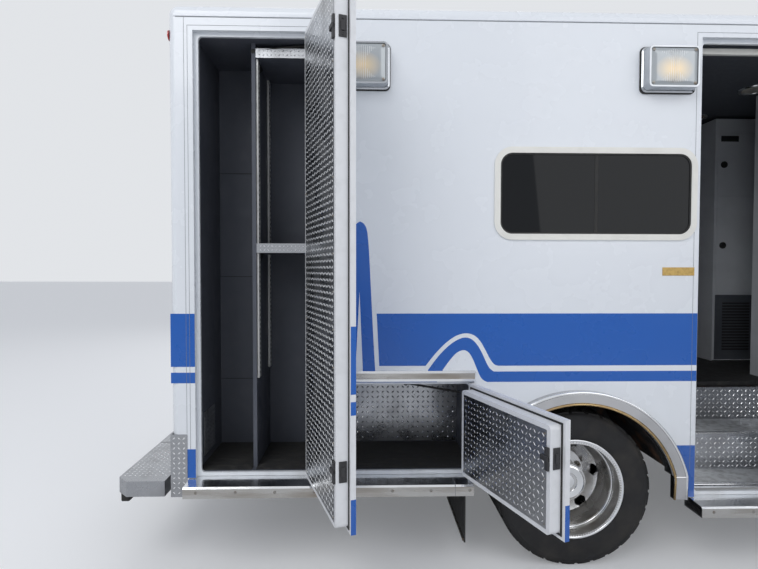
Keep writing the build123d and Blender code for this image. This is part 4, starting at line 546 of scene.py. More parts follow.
def door_plate(name, door, top):
    """Riveted tread plate on the inside of a door, from its bottom up to a given height."""
    rear, low = door.rear + PLATE_INSET, door.bottom + PLATE_INSET
    front, high = door.front - PLATE_INSET, top - PLATE_INSET
    face = door.side * (INNER - PLATE_THICK)
    inward = outward(-door.side)
    plate, heads = door_maker(name), door_maker(name)
    across, up = (rear - PLATE_EDGE, front + PLATE_EDGE), (low - PLATE_EDGE, high + PLATE_EDGE)
    plate.box(across, (door.side * INNER, face), up)
    plate.lozenges((rear, face, low), AHEAD, UP, inward, front - rear, high - low)
    plate.done(f"{name}_plate", PLATE, name)
    gaps = int((high - low) // RIVET_PITCH)
    for x in (rear + RIVET_INSET, front - RIVET_INSET):
        for k in range(gaps + 1):
            z = low + RIVET_EDGE + k * (high - low - 2 * RIVET_EDGE) / gaps
            heads.turned((x, face, z), inward, [(0, 5), (2, 4.4), (3, 2)], 8)
    heads.done(f"{name}_rivets", STEEL, name)


def door_latches(name, door):
    """Latch cases and tongues on the free edge, with their levers on the pan."""
    latch, side, rear = door_maker(name), door.side, door.rear
    case, lever = rear + 18, rear + 24
    for z in door.latches:
        latch.box((case, case + 4), span(side, LATCH_Y - 16, LATCH_Y + 16), (z - 42, z + 42))
        latch.box((case - 4, case + 1), span(side, LATCH_Y - 8, LATCH_Y + 8), (z - 18, z + 20))
        for dz in (-32, -24, 30):
            latch.turned((case, side * LATCH_Y, z + dz), BACK, [(0, 5), (2.5, 4)], 8)
        latch.box((lever, lever + 42), span(side, INNER - 1, INNER - 14), (z - 9, z + 11))
        latch.box((lever, lever + 20), span(side, INNER - 1, INNER - 10), (z - 46, z + 44))
    latch.done(f"{name}_latches", TRIM, name, bevel=1)


for name, door in side_doors.items():
    window = entry_window if name == "entry_door" else None
    paint(name, door_rule(door.side, window), name)
    door_plate(name, door, window[2] - 70 if window else door.top)
    seal = door_maker(name)
    depth = span(door.side, HALF - 22, HALF - 26)
    across = (door.rear + SEAL_INSET, door.front - SEAL_INSET)
    up = (door.bottom + SEAL_INSET, door.top - SEAL_INSET)
    seal.bars(across, up, SEAL_WIDTH, lambda x, z: seal.box(x, depth, z))
    seal.done(f"{name}_seal", RUBBER, name, bevel=2)
    door_latches(name, door)

# Stripes: thin blue sheets on the walls and on the doors' skins
FILM = 0.5
SKIRT_TOP, SKIRT_LOW, SKIRT_REAR_LOW = 645.0, 376, 500
upper_band, lower_band = bands = ((1059.0, 1324.0), (977.0, 1030.0))
ENTRY_REAR, CORNER_REAR, CORNER_FRONT = 2661, (2, 121), (4087, 4178)
ARCH_Z, ARCH_FILM_RADIUS = 369, 566
PULSE_X = 942
pulse = [(1018, 1036), (1007, 1224), (996.5, 1436), (990, 1569), (983, 1690), (975, 1751), (960, 1775)]
outer_arc = [(1283, 1037), (1330, 1102), (1378, 1154), (1427, 1190), (1469, 1205.5), (1506, 1196)]
outer_arc += [(1536, 1163), (1560, 1120.6), (1581, 1072), (1596.5, 1045), (1618, 1030)]
inner_arc = [(1357, 1037), (1390.5, 1084), (1427, 1127), (1463, 1142), (1490.5, 1130), (1512, 1093)]
inner_arc += [(1530, 1048), (1548, 1005.5), (1563, 987), (1584, 977)]
band_edge = [(1272, 1060), (1324, 1127), (1378, 1181), (1427, 1214.5), (1475, 1226.7), (1518, 1216)]
band_edge += [(1548, 1187), (1572, 1145), (1596.5, 1096), (1618, 1066), (1639, 1059)]


def stripe(maker, side, points, y=HALF):
    maker.sheet([(x, side * y, z) for x, z in points], outward(side), FILM)


def smoothed(points, rounds=2):
    """Cuts the corners of an open line of points."""
    for _ in range(rounds):
        cut = [points[0]]
        for (x0, z0), (x1, z1) in zip(points, points[1:]):
            cut.append((x0 * 0.75 + x1 * 0.25, z0 * 0.75 + z1 * 0.25))
            cut.append((x0 * 0.25 + x1 * 0.75, z0 * 0.25 + z1 * 0.75))
        points = [*cut, points[-1]]
    return points


def arch_points(way, degrees):
    """Points on the edge of the arch flare, ahead of the axle or behind it."""
    turns = [math.radians(d) for d in degrees]
    reach = way * ARCH_FILM_RADIUS
    return [(REAR_AXLE + reach * math.cos(a), ARCH_Z + ARCH_FILM_RADIUS * math.sin(a)) for a in turns]


wall_stripes = Maker()
# Front half and rear half of the tall pulse, either side of the white wedge inside it
PULSE_TOP = (PULSE_X, 1784)
WEDGE_TIP = (939, 1436)
mirrored = [(2 * PULSE_X - x, z) for x, z in pulse]
stripe(wall_stripes, CURB, [*smoothed([*pulse, PULSE_TOP]), WEDGE_TIP, (956, 1036)])
stripe(wall_stripes, CURB, [*smoothed([*mirrored, PULSE_TOP]), WEDGE_TIP, (919, 1036)])
top_line = [(1025, upper_band[1]), (1038, 1060), *smoothed(band_edge)]
stripe(wall_stripes, CURB, [*top_line, (ENTRY_REAR, upper_band[0]), (ENTRY_REAR, upper_band[1])])
front_ends = [(ENTRY_REAR, lower_band[1]), (ENTRY_REAR, lower_band[0])]
stripe(wall_stripes, CURB, [*smoothed(outer_arc), *front_ends, *reversed(smoothed(inner_arc))])
between_doors = {CURB: (3459, 3523), STREET: (687, 3523)}
for side in SIDES:
    for x in (CORNER_REAR, between_doors[side], CORNER_FRONT):
        for z in bands:
            stripe(wall_stripes, side, rectangle(x, z))
    if side == CURB:
        stripe(wall_stripes, side, rectangle((749, 1330), (lower_band[0], 1036)))
skirts = ((CURB, 2661, 1530, 580, (29.2, 25.5, 21.9)), (STREET, 3523, 687, SKIRT_REAR_LOW, (29.2, 20, 13.4)))
for side, front, rear, foot, degrees in skirts:
    ahead = arch_points(1, (1, 10, 20, 29.2))
    stripe(wall_stripes, side, [*ahead, (front, SKIRT_TOP), (front, SKIRT_LOW), (2640, SKIRT_LOW)])
    stripe(wall_stripes, side, [(rear, foot), (rear, SKIRT_TOP), *arch_points(-1, degrees)])
for side in SIDES:
    stripe(wall_stripes, side, rectangle((3, CORNER_REAR[1]), (SKIRT_REAR_LOW, SKIRT_TOP)))
    stripe(wall_stripes, side, rectangle(CORNER_FRONT, (SKIRT_LOW, SKIRT_TOP)))
wall_stripes.done("wall_stripes", BLUE)
HINGE_LEAF = 27
for name, door in side_doors.items():
    skin, edge = door_maker(name), door_maker(name)
    is_tall = door.top > 1400
    for z in (*(bands if is_tall else ()), (door.bottom, SKIRT_TOP)):
        stripe(skin, door.side, rectangle((door.rear, door.front - HINGE_LEAF), z))
        edge.box((door.rear - FILM, door.rear), span(door.side, HALF - 21, HALF + FILM), z)
    skin.done(f"{name}_stripes", BLUE, name)
    edge.done(f"{name}_edge_stripes", BLUE, name)

# Side windows: cream frame round dark glass, with a black gasket and a sliding pane's upright
WINDOW_X, WINDOW_Z = 2129.5, 1927
PANE_HALF = (484.5, 201)


def window_rule(middle, normal):
    in_pane = abs(middle.x - WINDOW_X) < PANE_HALF[0] and abs(middle.z - WINDOW_Z) < PANE_HALF[1]
    return TINTED if in_pane and abs(middle.y) < HALF + 1 and abs(normal.y) > FACING else FRAME_WHITE


paint("module_windows", window_rule)
for side in SIDES:
    gasket = Maker()
    gasket.rounded_band(WINDOW_X, WINDOW_Z, side, (486.5, 203, 61, 0.4), (477.5, 194, 52, 0.4), 4)
    gasket.box((2122, 2138), span(side, HALF, HALF + 1.5), (1728, 2126))
    gasket.rounded_band(WINDOW_X, WINDOW_Z, side, (501, 217.5, 74, 1), (498.5, 215, 74, 1), 1)
    gasket.done(f"window_gasket_{SIDE_NAMES[side]}", RUBBER)

# Lamps: a bright stepped bezel round ribbed glass, on a gasket, with screws
LAMP_PLACES, LAMP_Z = (950, 2482), 2543
LAMP_FACE, FRONT_LAMP_FACE = 62, 4213  # lens over the side skin, and lens of the front lamps
RIB_PITCH = 9
glass_steps = ((117, 92, 14, 62.4), (114, 89, 13, 65), (80, 60, 12, 68), (40, 30, 10, 69.5), (4, 3, 1, 70))
bezel_steps = ((137, 112, 24, 6), (137, 112, 24, 14), (130, 105, 22, 18), (125, 100, 20, 64))


def lamp_rule(middle, normal):
    side_lens = abs(normal.y) > SQUARE_ON and abs(middle.y) > HALF + LAMP_FACE - 1
    front_lens = normal.x > SQUARE_ON and middle.x > FRONT_LAMP_FACE
    return LENS if side_lens or front_lens else CHROME


def stepped(maker, x, side, steps, closed=True):
    """A skin over rounded rectangles, each as half sizes, corner radius and height over the skin."""
    lines = [rounded(x, LAMP_Z, w, h, r, side * (HALF + out)) for w, h, r, out in steps]
    maker.rings([[at(*p) for p in line] for line in lines], closed)


paint("module_lamps", lamp_rule)
paint("tail_lamps", lambda middle, normal: CHROME if middle.x > -12.5 else RED)
for side in SIDES:
    tag = SIDE_NAMES[side]
    screws, bezel, base = makers(3)
    for x in LAMP_PLACES:
        glass, ribs = makers(2)
        stepped(glass, x, side, glass_steps)
        glass.done(f"scene_lamp_glass_{tag}_{x}", LIT_GLASS, smooth=True)
        for k in range(-11, 12):
            half, out = 80 - abs(k) * 1.2, HALF + 71 - abs(k) * 0.5
            middle, up = x + k * RIB_PITCH, (LAMP_Z - half, LAMP_Z + half)
            ribs.box((middle - 1, middle + 1), span(side, HALF + LAMP_FACE, out), up)
        ribs.done(f"scene_lamp_ribs_{tag}_{x}", LENS, bevel=0.8)
        for dx in (-104, 104):
            for dz in (-80, 80):
                centre = (x + dx, side * (HALF + 66), LAMP_Z + dz)
                screws.turned(centre, outward(side), [(-4, 8), (2, 8), (3, 5), (4, 1)], 10)
        base.rounded_band(x, LAMP_Z, side, (141, 116, 26, 0), (129, 104, 20, 0), 7)
        bezel.rounded_band(x, LAMP_Z, side, (125, 100, 20, LAMP_FACE), (117, 92, 14, LAMP_FACE), 6)
        stepped(bezel, x, side, bezel_steps, closed=False)
    base.done(f"scene_lamp_gasket_{tag}", RUBBER, bevel=1.5)
    screws.done(f"scene_lamp_screws_{tag}", STEEL)
    bezel.done(f"scene_lamp_bezel_{tag}", BEZEL)

# Compartments: shelf lips, gussets, slotted tracks, floor mats, louvre, strikers and liner seams
BAY_BACK, BAY_FLOOR, BAY_FRONT = -742, 517, -1160
REAR_BAY, MIDDLE_BAY, LOWER_BAY = (121, 386), (408, 749), (812, 1514)
SHELVES, SHELF_LIP, SHELF_FACE = (1630, 2622), 48, -1121.5
SHELF_REAR, SHELF_FRONT = 409, 748
lips, gussets, tracks, slots = makers(4)
for low in SHELVES:
    high = low + SHELF_LIP
    lips.box((SHELF_REAR, SHELF_FRONT), (SHELF_FACE, SHELF_FACE + 2), (low, high))
    corner, length = (SHELF_REAR, SHELF_FACE, low), SHELF_FRONT - SHELF_REAR
    lips.lozenges(corner, AHEAD, UP, outward(CURB), length, SHELF_LIP, FINE_PATTERN)
    lips.box((SHELF_REAR - 1, SHELF_FRONT), (-1120, -1090), (high - 2, high))
    for x in (SHELF_REAR, SHELF_FRONT - 7):
        gussets.sheet([(x, -1100, low - 2), (x, -960, low - 2), (x, -1100, low - 90)], AHEAD, 6)
lips.done("shelf_lips", PLATE)
gussets.done("shelf_gussets", RUBBER)
TRACK_DEEP, TRACK_HALF, SLOT_HALF, SLOT_PITCH, SLOT_HEIGHT, SLOTS = 11, 22, 4, 25, 12, 66
for x, facing in ((407, 1), (750, -1)):
    face = x + facing * TRACK_DEEP
    for y in (-1084, -775):
        tracks.box((x, face), (y - TRACK_HALF, y + TRACK_HALF), (980, 2660))
        for k in range(SLOTS):
            z = 1000 + k * SLOT_PITCH
            across = (face - facing * 0.4, face + facing * 0.6)
            slots.box(across, (y - SLOT_HALF, y + SLOT_HALF), (z, z + SLOT_HEIGHT))
tracks.done("shelf_tracks", TRACK, bevel=1.5)
slots.done("track_slots", RUBBER)
mats, louvre, pins, seams = makers(4)
MAT_TOP, MAT_RIB, MAT_RIBS, MAT_PITCH = BAY_FLOOR + 4, 2, 20, 20
for bays in ((REAR_BAY, MIDDLE_BAY), (LOWER_BAY,)):
    for across in bays:
        mats.box(across, (BAY_FRONT, BAY_BACK), (BAY_FLOOR, MAT_TOP))
    for k in range(MAT_RIBS):
        y = BAY_FRONT + 10 + k * MAT_PITCH
        for across in bays:
            mats.box(across, (y, y + 6), (MAT_TOP, MAT_TOP + MAT_RIB))
mats.done("floor_mats", MAT_RUBBER)
for k in range(9):
    z = 585 + k * 22
    louvre.sheet([(120.5, -1060, z), (120.5, -900, z), (129, -900, z - 10), (129, -1060, z - 10)], DOWN, 1.5)
louvre.box((120.2, 122), (-1075, -885), (560, 790))
louvre.done("wall_louvre", ALUMINIUM)
for z in side_doors["tall_door"].latches:
    pins.turned((120, -LATCH_Y, z), AHEAD, [(0, 14), (3, 14), (3.2, 6), (13, 6), (13.2, 9), (17, 9)], 14)
pins.done("door_strikers", STEEL)
for z in (900, 1500, 2100):
    seams.box(REAR_BAY, (-741, -739.5), (z, z + 3))
seams.box((387, 388), (-1115, -745), (BAY_FLOOR, 2690))
seams.done("liner_seams", RUBBER)

# Lower compartment: tread plate on its back wall
backing = Maker()
low, high = 524, 960
backing.box(LOWER_BAY, (BAY_BACK, -739.2), (low, high))
corner, length = (LOWER_BAY[0], BAY_BACK, low), LOWER_BAY[1] - LOWER_BAY[0]
backing.lozenges(corner, AHEAD, UP, outward(CURB), length, high - low, DEEP_PATTERN)
backing.done("lower_bay_plate", PLATE)

# Entry: tread plate risers, ribbed treads and bright nosings
STEP_REAR, STEP_FRONT = ENTRY = (2684, 3438)
TREAD, TREAD_RIB, RIB_STEP = 3, 2, 16
risers, treads, nosing = makers(3)
for y, low, high in ((-941, 415, 604), (-651, 618, 812)):
    risers.box(ENTRY, (y - 1.5, y), (low, high))
    risers.lozenges((STEP_REAR, y - 1.5, low), AHEAD, UP, outward(CURB), STEP_FRONT - STEP_REAR, high - low)
for front_y, back_y, z in ((-1150, -944, 412), (-933, -654, 615)):
    treads.box(ENTRY, (front_y, back_y), (z, z + TREAD))
    for k in range(int((back_y - front_y) // RIB_STEP)):
        y = front_y + 6 + k * RIB_STEP
        treads.box((STEP_REAR + 6, STEP_FRONT - 6), (y, y + 6), (z + TREAD, z + TREAD + TREAD_RIB))
    nosing.box((STEP_REAR - 2, STEP_FRONT + 2), (front_y - 12, front_y + 14), (z + 1, z + 7))
risers.done("step_risers", PLATE)
treads.done("step_treads", ALUMINIUM)
nosing.done("step_nosings", POLISHED, bevel=3)

# Arch flares: a straight front leg down to the skirt, a rolled bright edge and a bronzed inner lip
FLARE_OUT, FLARE_RADIUS = HALF + 38, 580
RAIL_FACE, RAIL_TOP, DRIP_LOW = 1319, 497, 950
legs, roll, inner_lip = makers(3)
turns = [math.radians(13.5 + 2 * k) for k in range(74)]
for side in SIDES:
    legs.box((2534, 2604), span(side, HALF, HALF + 42), (378, 499))
    for maker, radius, thick, foot in ((roll, 559, 7, 2598), (inner_lip, 500, 6, 2537)):
        line = [(REAR_AXLE + radius * math.cos(a), ARCH_Z + radius * math.sin(a)) for a in turns]
        line = [(foot, 380), *[p for p in line if p[0] > 1532]]
        maker.tube([(x, side * FLARE_OUT, z) for x, z in line], thick)
# The legs take the flares' darker colour, a painted reflection
legs.done("arch_flare_legs", FLARE_AND_REFLECTION, bevel=5)
roll.done("arch_flare_edges", CHROME, smooth=True)
inner_lip.done("arch_flare_lips", BRONZE, smooth=True)


def trim_rule(middle, normal):
    """Arch flares darker than the polished rails, whose faces are worn; the flares' darker patches are painted
    reflections.
    """
    if middle.z > RAIL_TOP and math.hypot(middle.x - REAR_AXLE, middle.z - ARCH_Z) < FLARE_RADIUS:
        return FLARE_AND_REFLECTION
    rail = abs(middle.y) > RAIL_FACE - 1 and abs(normal.y) > SQUARE_ON
    drip = abs(middle.y) < HALF + 5 and middle.z > DRIP_LOW and abs(normal.y) > FACING
    return WORN if rail or drip else POLISHED


paint("side_trim", trim_rule)

# Roof moulding, and a blank plate on the wall between window and doorway
moulding, plate = makers(2)
for side in SIDES:
    moulding.box((30, 4150), span(side, HALF, HALF + 4), (2779, 2789))
moulding.done("roof_moulding", WHITE, bevel=2)
plate.box((2475, 2640), span(CURB, HALF + 2, HALF), (1516, 1558))
plate.done("blank_plate", GOLD, bevel=3)

# Wheels: tyres turned to a bulged profile under rows of tread blocks, lug nuts and hub caps
# Places across the vehicle of the tyre rows, the disc, the hub face, the rim's flange and its weld, and
# the radii of the ring of nuts and of the hub cap
Axle = namedtuple("Axle", "x wheel tyre rim rows disc hub_face flange weld nut_ring cap_radius")
axles = {
    "rear": Axle(
        REAR_AXLE, "rear_wheels", "rear_tyres", "rear_rims", (1070, 790), 940, 1080, 1177, 1096, 121, 92
    ),
    "front": Axle(
        FRONT_AXLE, "front_wheel", "front_tyre", "front_rim", (880,), 1005, 1095, 987, None, 116, 78
    ),
}
wheel_sides = (("left", STREET), ("right", CURB))
wall_half = [(86, 249), (97, 258), (108, 285), (112.4, 318), (112.6, 345), (110.6, 366), (111.4, 369)]
wall_half += [(110, 372), (108.6, 376), (109.4, 379), (107.4, 382), (103, 391), (95, 395)]
tyre_profile = wall_half + [(-y, r) for y, r in reversed(wall_half)]
tread_rows = ((-77, 33, 0.0), (-39, 31, 0.5), (0, 31, 0.0), (39, 31, 0.5), (77, 33, 0.0))
TREAD_PITCHES, BLOCK_HALF, BLOCK_LEAN = 60, 0.42, 0.16
block_rings = ((392, 0), (403.3, 1.5))  # radius, and how far each side is drawn in
CHROME_FROM = 251


def tread_blocks(maker, x, y):
    """Five staggered rows of blocks standing on a tyre's tread."""
    pitch = 2 * math.pi / TREAD_PITCHES
    for row_y, width, shift in tread_rows:
        for k in range(TREAD_PITCHES):
            lean = BLOCK_LEAN * pitch * (1 if k % 2 else -1)
            ends = [(k + shift - BLOCK_HALF) * pitch, (k + shift + BLOCK_HALF) * pitch]
            verts = []
            for r, inset in block_rings:
                for edge, tilt in ((-1, -lean), (1, lean)):
                    place = y + row_y + edge * (width / 2 - inset)
                    turns = [a + tilt for a in ends]
                    verts += [at(x + r * math.cos(a), place, WHEEL_Z + r * math.sin(a)) for a in turns]
            maker.add(verts, [(4, 5, 7, 6), (0, 1, 5, 4), (2, 6, 7, 3), (0, 4, 6, 2), (1, 3, 7, 5)])


def rim_rule(axle_x):
    def rule(middle, normal):
        return CHROME if math.hypot(middle.x - axle_x, middle.z - WHEEL_Z) > CHROME_FROM else RIM

    return rule


for axle in axles.values():
    for tag, side in wheel_sides:
        carcass, tread = makers(2)
        for y in axle.rows:
            carcass.hoop((axle.x, side * y, WHEEL_Z), (0, 1, 0), tyre_profile, 120)
            tread_blocks(tread, axle.x, side * y)
        node, wheel = f"{axle.tyre}_{tag}", f"{axle.wheel}_{tag}"
        body = carcass.done(f"{node}_carcass", TYRE, wheel, smooth=True)
        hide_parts(node)
        tread.done(f"{node}_tread", TYRE, wheel)
lip_profile = [(0, 261.5), (7, 261.2), (8.6, 258), (8, 252), (5, 248), (0, 246)]
weld_profile = [(0, 238), (5, 237), (7, 233), (2, 229), (-4, 231)]
for end, axle in axles.items():
    for tag, side in wheel_sides:
        x, cap_radius = axle.x, axle.cap_radius
        paint(f"{axle.rim}_{tag}", rim_rule(x))
        out = outward(side)
        nuts, cap, lip = makers(3)
        for k in range(8):
            a = math.radians(22.5 + 45 * k)
            reach_x, reach_z = axle.nut_ring * math.cos(a), axle.nut_ring * math.sin(a)
            centre = (x + reach_x, side * axle.disc, WHEEL_Z + reach_z)
            nuts.turned(centre, out, [(0, 16), (3, 16), (3.1, 13), (20, 13), (23, 9)], 6)
            nuts.turned(centre, out, [(20, 7), (31, 7), (33, 5)], 8)
        cap_profile = [(0, cap_radius), (5, cap_radius), (9, cap_radius - 8), (6, 54), (0, 52)]
        cap.hoop((x, side * axle.hub_face, WHEEL_Z), out, cap_profile)
        cap.turned((x, side * (axle.hub_face - 1), WHEEL_Z), out, [(0, 40), (3, 38), (5, 20)], 32)
        lip.hoop((x, side * (axle.flange - 6), WHEEL_Z), out, lip_profile, 160)
        if axle.weld:
            lip.hoop((x, side * axle.weld, WHEEL_Z), out, weld_profile, 128)
        valve = (x + 243, side * (axle.flange - 52), WHEEL_Z)
        lip.turned(valve, out, [(0, 5), (34, 4.5), (35, 6), (46, 5)], 8)
        wheel = f"{axle.wheel}_{tag}"
        nuts.done(f"{end}_lug_nuts_{tag}", STEEL, wheel)
        cap.done(f"{end}_hub_cap_{tag}", CHROME, wheel, bevel=1)
        lip.done(f"{end}_rim_lips_{tag}", CHROME, wheel, smooth=True)

# Body seams: posts at the corners, the roof edge and the frames round the door openings
LINE, PROUD = 1.6, 0.8
REAR_POST, FRONT_POST = 82, 4098
POST, ROOF_LINE = (725, 2777), (2775.5, 2778)
seams = Maker()
for side in SIDES:
    face = span(side, HALF, HALF + PROUD)
    for x in (78, 4102):
        seams.box((x, x + LINE), face, POST)
    seams.box((40, 4140), face, ROOF_LINE)
    for name, door in side_doors.items():
        if door.side == side and name != "lower_door":
            rear, front = door.rear - 33, door.front + 31
            for x in (rear, front):
                if REAR_POST < x < FRONT_POST:
                    seams.box((x, x + LINE), face, (door.bottom + 140, door.top + 30))
            reach = (max(rear, REAR_POST), min(front + LINE, FRONT_POST))
            seams.box(reach, face, (door.top + 29, door.top + 29 + LINE))
seams.box((-PROUD, 0), (-1179, 1179), ROOF_LINE)
for y, z in ((-1139, POST), (1137.4, POST), (-674, (770, 2670)), (672.4, (770, 2670))):
    seams.box((-PROUD, 0), (y, y + LINE), z)
seams.box((-PROUD, 0), (-674, 674), (2669, 2669 + LINE))
seams.done("body_seams", SEAM)

# Tread plate: corner guards, rear bumper, folding step, kick plate under the rear doors
STEP_REAR_X, STEP_TOP, STEP_DEEP = -280, 485, 240
guards, bumper, tread, kick = makers(4)
for side in SIDES:
    corner = (-3, side * 1222, 405)
    guards.lozenges(corner, AHEAD, UP, outward(side), 83, 315, SMALL_PATTERN)
    guards.lozenges(corner, outward(-side), UP, BACK, 83, 315, SMALL_PATTERN)
    bumper.lozenges((STEP_REAR_X, side * 632, STEP_TOP), AHEAD, outward(side), UP, STEP_DEEP, 525)
guards.done("corner_guard_lozenges", PLATE)
bumper.done("rear_bumper_lozenges", PLATE)
tread.lozenges((STEP_REAR_X, -612, STEP_TOP), AHEAD, outward(STREET), UP, STEP_DEEP, 1224)
tread.done("flip_step_lozenges", PLATE, "flip_step")
kick.box((-1.5, 0), (-1130, 1130), (530, 785))
kick.lozenges((-1.5, -1130, 530), outward(STREET), UP, BACK, 2260, 255)
kick.done("rear_kick_plate", PLATE)

# Dock blocks under the bumper, bolts and joint of the rub rails, bars that hold the mud flaps
blocks, rail_bolts, flap_bars, joint_lines = makers(4)
for side in SIDES:
    blocks.box((-284.5, -240), span(side, 1010, 1150), (352, 407))
    for first, last, pitch, z in ((150, 1500, 190, 466), (2700, 4150, 200, 342)):
        for x in range(first, last, pitch):
            rail_bolts.turned((x, side * RAIL_FACE, z), outward(side), [(-1, 8), (0.5, 8), (0.9, 3)], 10)
    for z in ((455, 485), (135, 150)):
        flap_bars.box((1474, 1480), span(side, 650, 1168), z)
    for k in range(6):
        flap_bars.turned((1474, side * (690 + 90 * k), 470), BACK, [(0, 8), (5, 6)], 8)
    joint_lines.box((1408, 1410), span(side, 1150, RAIL_FACE + 0.4), (437, RAIL_TOP - 1))
blocks.done("dock_blocks", RUBBER, bevel=8)
rail_bolts.done("rub_rail_bolts", STEEL)
flap_bars.done("mud_flap_bars", STEEL)
joint_lines.done("rub_rail_joint", SEAM)

# Hold-open rods folded inside the two open compartments
rods = Maker()
spring = [(690, -1120, 2686), (672, -1116, 2640), (655, -1112, 2610), (640, -1114, 2640), (622, -1117, 2682)]
rods.tube([(395, -1115, 2655), (560, -1118, 2676), (700, -1120, 2688)], 5.5)
rods.tube(spring, 2.5, 8)
rods.tube([(1180, -1110, 950), (1462, -1128, 905)], 5.5)
for x, z in ((395, 2655), (1180, 950)):
    rods.turned((x, -1104, z), outward(CURB), [(0, 12), (16, 12), (18, 8)], 12)
rods.done("hold_open_rods", RUBBER)

# Patient room: cabinet doors, pulls, vents, hinges, ceiling, lamps, rail, floor and doorway header
FRONT_WALL, STREET_BANK, CURB_BANK, LONG_BANK = 4116, 266, -270, 596
DOOR_THICK = 4
TO_DOORWAY = outward(CURB)
fronts, pulls, dark, bright, brown, panel_low = makers(6)
for low, high in ((1362, 2116), (2130, 2620)):
    fronts.box((3762, FRONT_WALL), (STREET_BANK, STREET_BANK + DOOR_THICK), (low, high))
for low, high in ((1540, 1874), (1888, 2620)):
    fronts.box((3676, FRONT_WALL), (CURB_BANK, CURB_BANK - DOOR_THICK), (low, high))
for z in (2378, 1740):
    pulls.turned((3812, STREET_BANK, z), TO_DOORWAY, [(0, 26), (7, 26), (8, 19), (5, 12), (6, 1)], 20)
dark.box((3785, 3925), (262, STREET_BANK), (2560, 2604))
panel_low.box((3762, FRONT_WALL), (267, 270), (830, 1346))
VENT_SLOTS, VENT_LOW, VENT_PITCH, VENT_SLOT = 17, 905, 23, 12
for k in range(VENT_SLOTS):
    z = VENT_LOW + k * VENT_PITCH
    dark.box((3822, 4040), (262, 267), (z, z + VENT_SLOT))
bright.box((3743, FRONT_WALL), (STREET_BANK, 270), (816, 824))
for low, high in ((830, 1140), (1150, 1524)):
    brown.box((3680, FRONT_WALL), (CURB_BANK, CURB_BANK - 6), (low, high))
for z in (1455, 1142, 866):
    bright.box((3656, 3682), (CURB_BANK - 6, CURB_BANK - 11), (z - 38, z + 38))
LONG_DOORS = ((760, 1420), (1434, 2100), (2114, 2780), (2794, 3460))
for x0, x1 in LONG_DOORS:
    for low, high, pull_z in ((838, 1225, 1165), (1875, 2715, 1935)):
        fronts.box((x0, x1), (LONG_BANK, LONG_BANK + DOOR_THICK), (low, high))
        pulls.turned((x1 - 60, LONG_BANK, pull_z), TO_DOORWAY, [(0, 22), (7, 22), (8, 14), (5, 1)], 16)
bright.box((728, 3482), (588, 600), (1236, 1252))
fronts.done("cabinet_doors", CABINET, bevel=2)
pulls.done("cabinet_pulls", RUBBER)
dark.done("cabinet_vents", TRIM)
panel_low.done("cabinet_lower_panel", GREY)
bright.done("cabinet_bright_trim", POLISHED, bevel=1)
brown.done("lower_cabinet_doors", BROWN, bevel=3)
CEILING, RAIL_Z, RAIL_Y = 2765, 2700, -60
ceiling, lamps, rings, edge, header = makers(5)
ceiling.box((46, 4134), (-1173, 1173), (CEILING, 2776.5))
for x in (600, 1400, 2200, 3000, 3600):
    for y in (-330, 330):
        lamps.turned((x, y, CEILING), DOWN, [(0, 80), (4, 80), (7, 60), (8, 1)], 32)
        rings.hoop((x, y, CEILING), DOWN, [(0, 98), (8, 96), (8, 80), (0, 80)], 32)
rail = [(400, CEILING), (400, 2715), (420, RAIL_Z), (3200, RAIL_Z), (3220, 2715), (3220, CEILING)]
rings.tube([(x, RAIL_Y, z) for x, z in rail], 14)
edge.box((2682, 3440), (-612, -603), (816, 842))
edge.box((60, 4120), (-590, 590), (815.5, 818))
# The ceiling's dark colour is painted shade of the unlit room
ceiling.done("room_ceiling", SHADED_HEADLINER)
lamps.done("dome_lamps", WARM)
rings.done("dome_rings_and_rail", POLISHED, smooth=True)
edge.done("room_floor_covering", MAT_RUBBER, bevel=1)
header.box((2682, 3438), (-1136, -1112), (2664, 2696))
header.done("doorway_header", FRAME_WHITE, bevel=4)

# Soft covers over the bench and the cab seats
BENCH_REAR, BENCH_FRONT, COVER_GAP, COVERS = 770, 2600, 12, 3
cushions, pedestals, pads = makers(3)
length = (BENCH_FRONT - BENCH_REAR - COVER_GAP * (COVERS - 1)) / COVERS
for k in range(COVERS):
    x = BENCH_REAR + k * (length + COVER_GAP)
    cushions.box((x, x + length), (-1103, -600), (1250.3, 1320))
    cushions.box((x, x + length), (-1173.7, -1104), (1250.3, 1670))
soft = cushions.done("bench_cushion_covers", VINYL, bevel=16)
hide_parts("bench_cushions")
for y in (-430, 430):
    width = (y - 250, y + 250)
    pedestals.box((4570, 4870), (y - 150, y + 150), (850, 1110))
    pads.box((4460, 4980), width, (1110, 1220))
    pads.box((4460, 4570), width, (1218, 1869))
pedestals.done("cab_seat_pedestals", TRIM, bevel=6)
pad = pads.done("cab_seat_covers", VINYL, bevel=32)
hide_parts("seats")

# Rear face: ribs and studs of the tail lamps, reflectors and grab rails
TAIL_Y, GRAB_Y = 960, 720
tail_ribs, studs, rails = makers(3)
for side in SIDES:
    for row in range(3):
        z = 1000 + 190 * row
        for k in range(-6, 7):
            y = side * TAIL_Y + k * 10
            tail_ribs.box((-35, -28), (y - 2, y + 2), (z - 34, z + 34))
        for dy in (-78, 78):
            studs.turned((-12, side * TAIL_Y + dy, z), BACK, [(0, 5), (3, 4), (4, 1)], 8)
    for z in (560, 2700):
        studs.turned((0, side * 1180, z), BACK, [(0, 26), (5, 26), (7, 22)], 24)
    rail = [(0, 1180), (-48, 1190), (-60, 1210), (-60, 1770), (-48, 1790), (0, 1800)]
    rails.tube([(x, side * GRAB_Y, z) for x, z in rail], 13, 12)
    for z in (1180, 1800):
        rails.turned((0, side * GRAB_Y, z), BACK, [(0, 30), (5, 28)], 16)
tail_ribs.done("tail_lamp_ribs", RED)
studs.done("rear_studs_and_reflectors", RED)
rails.done("rear_grab_rails", POLISHED, smooth=True)

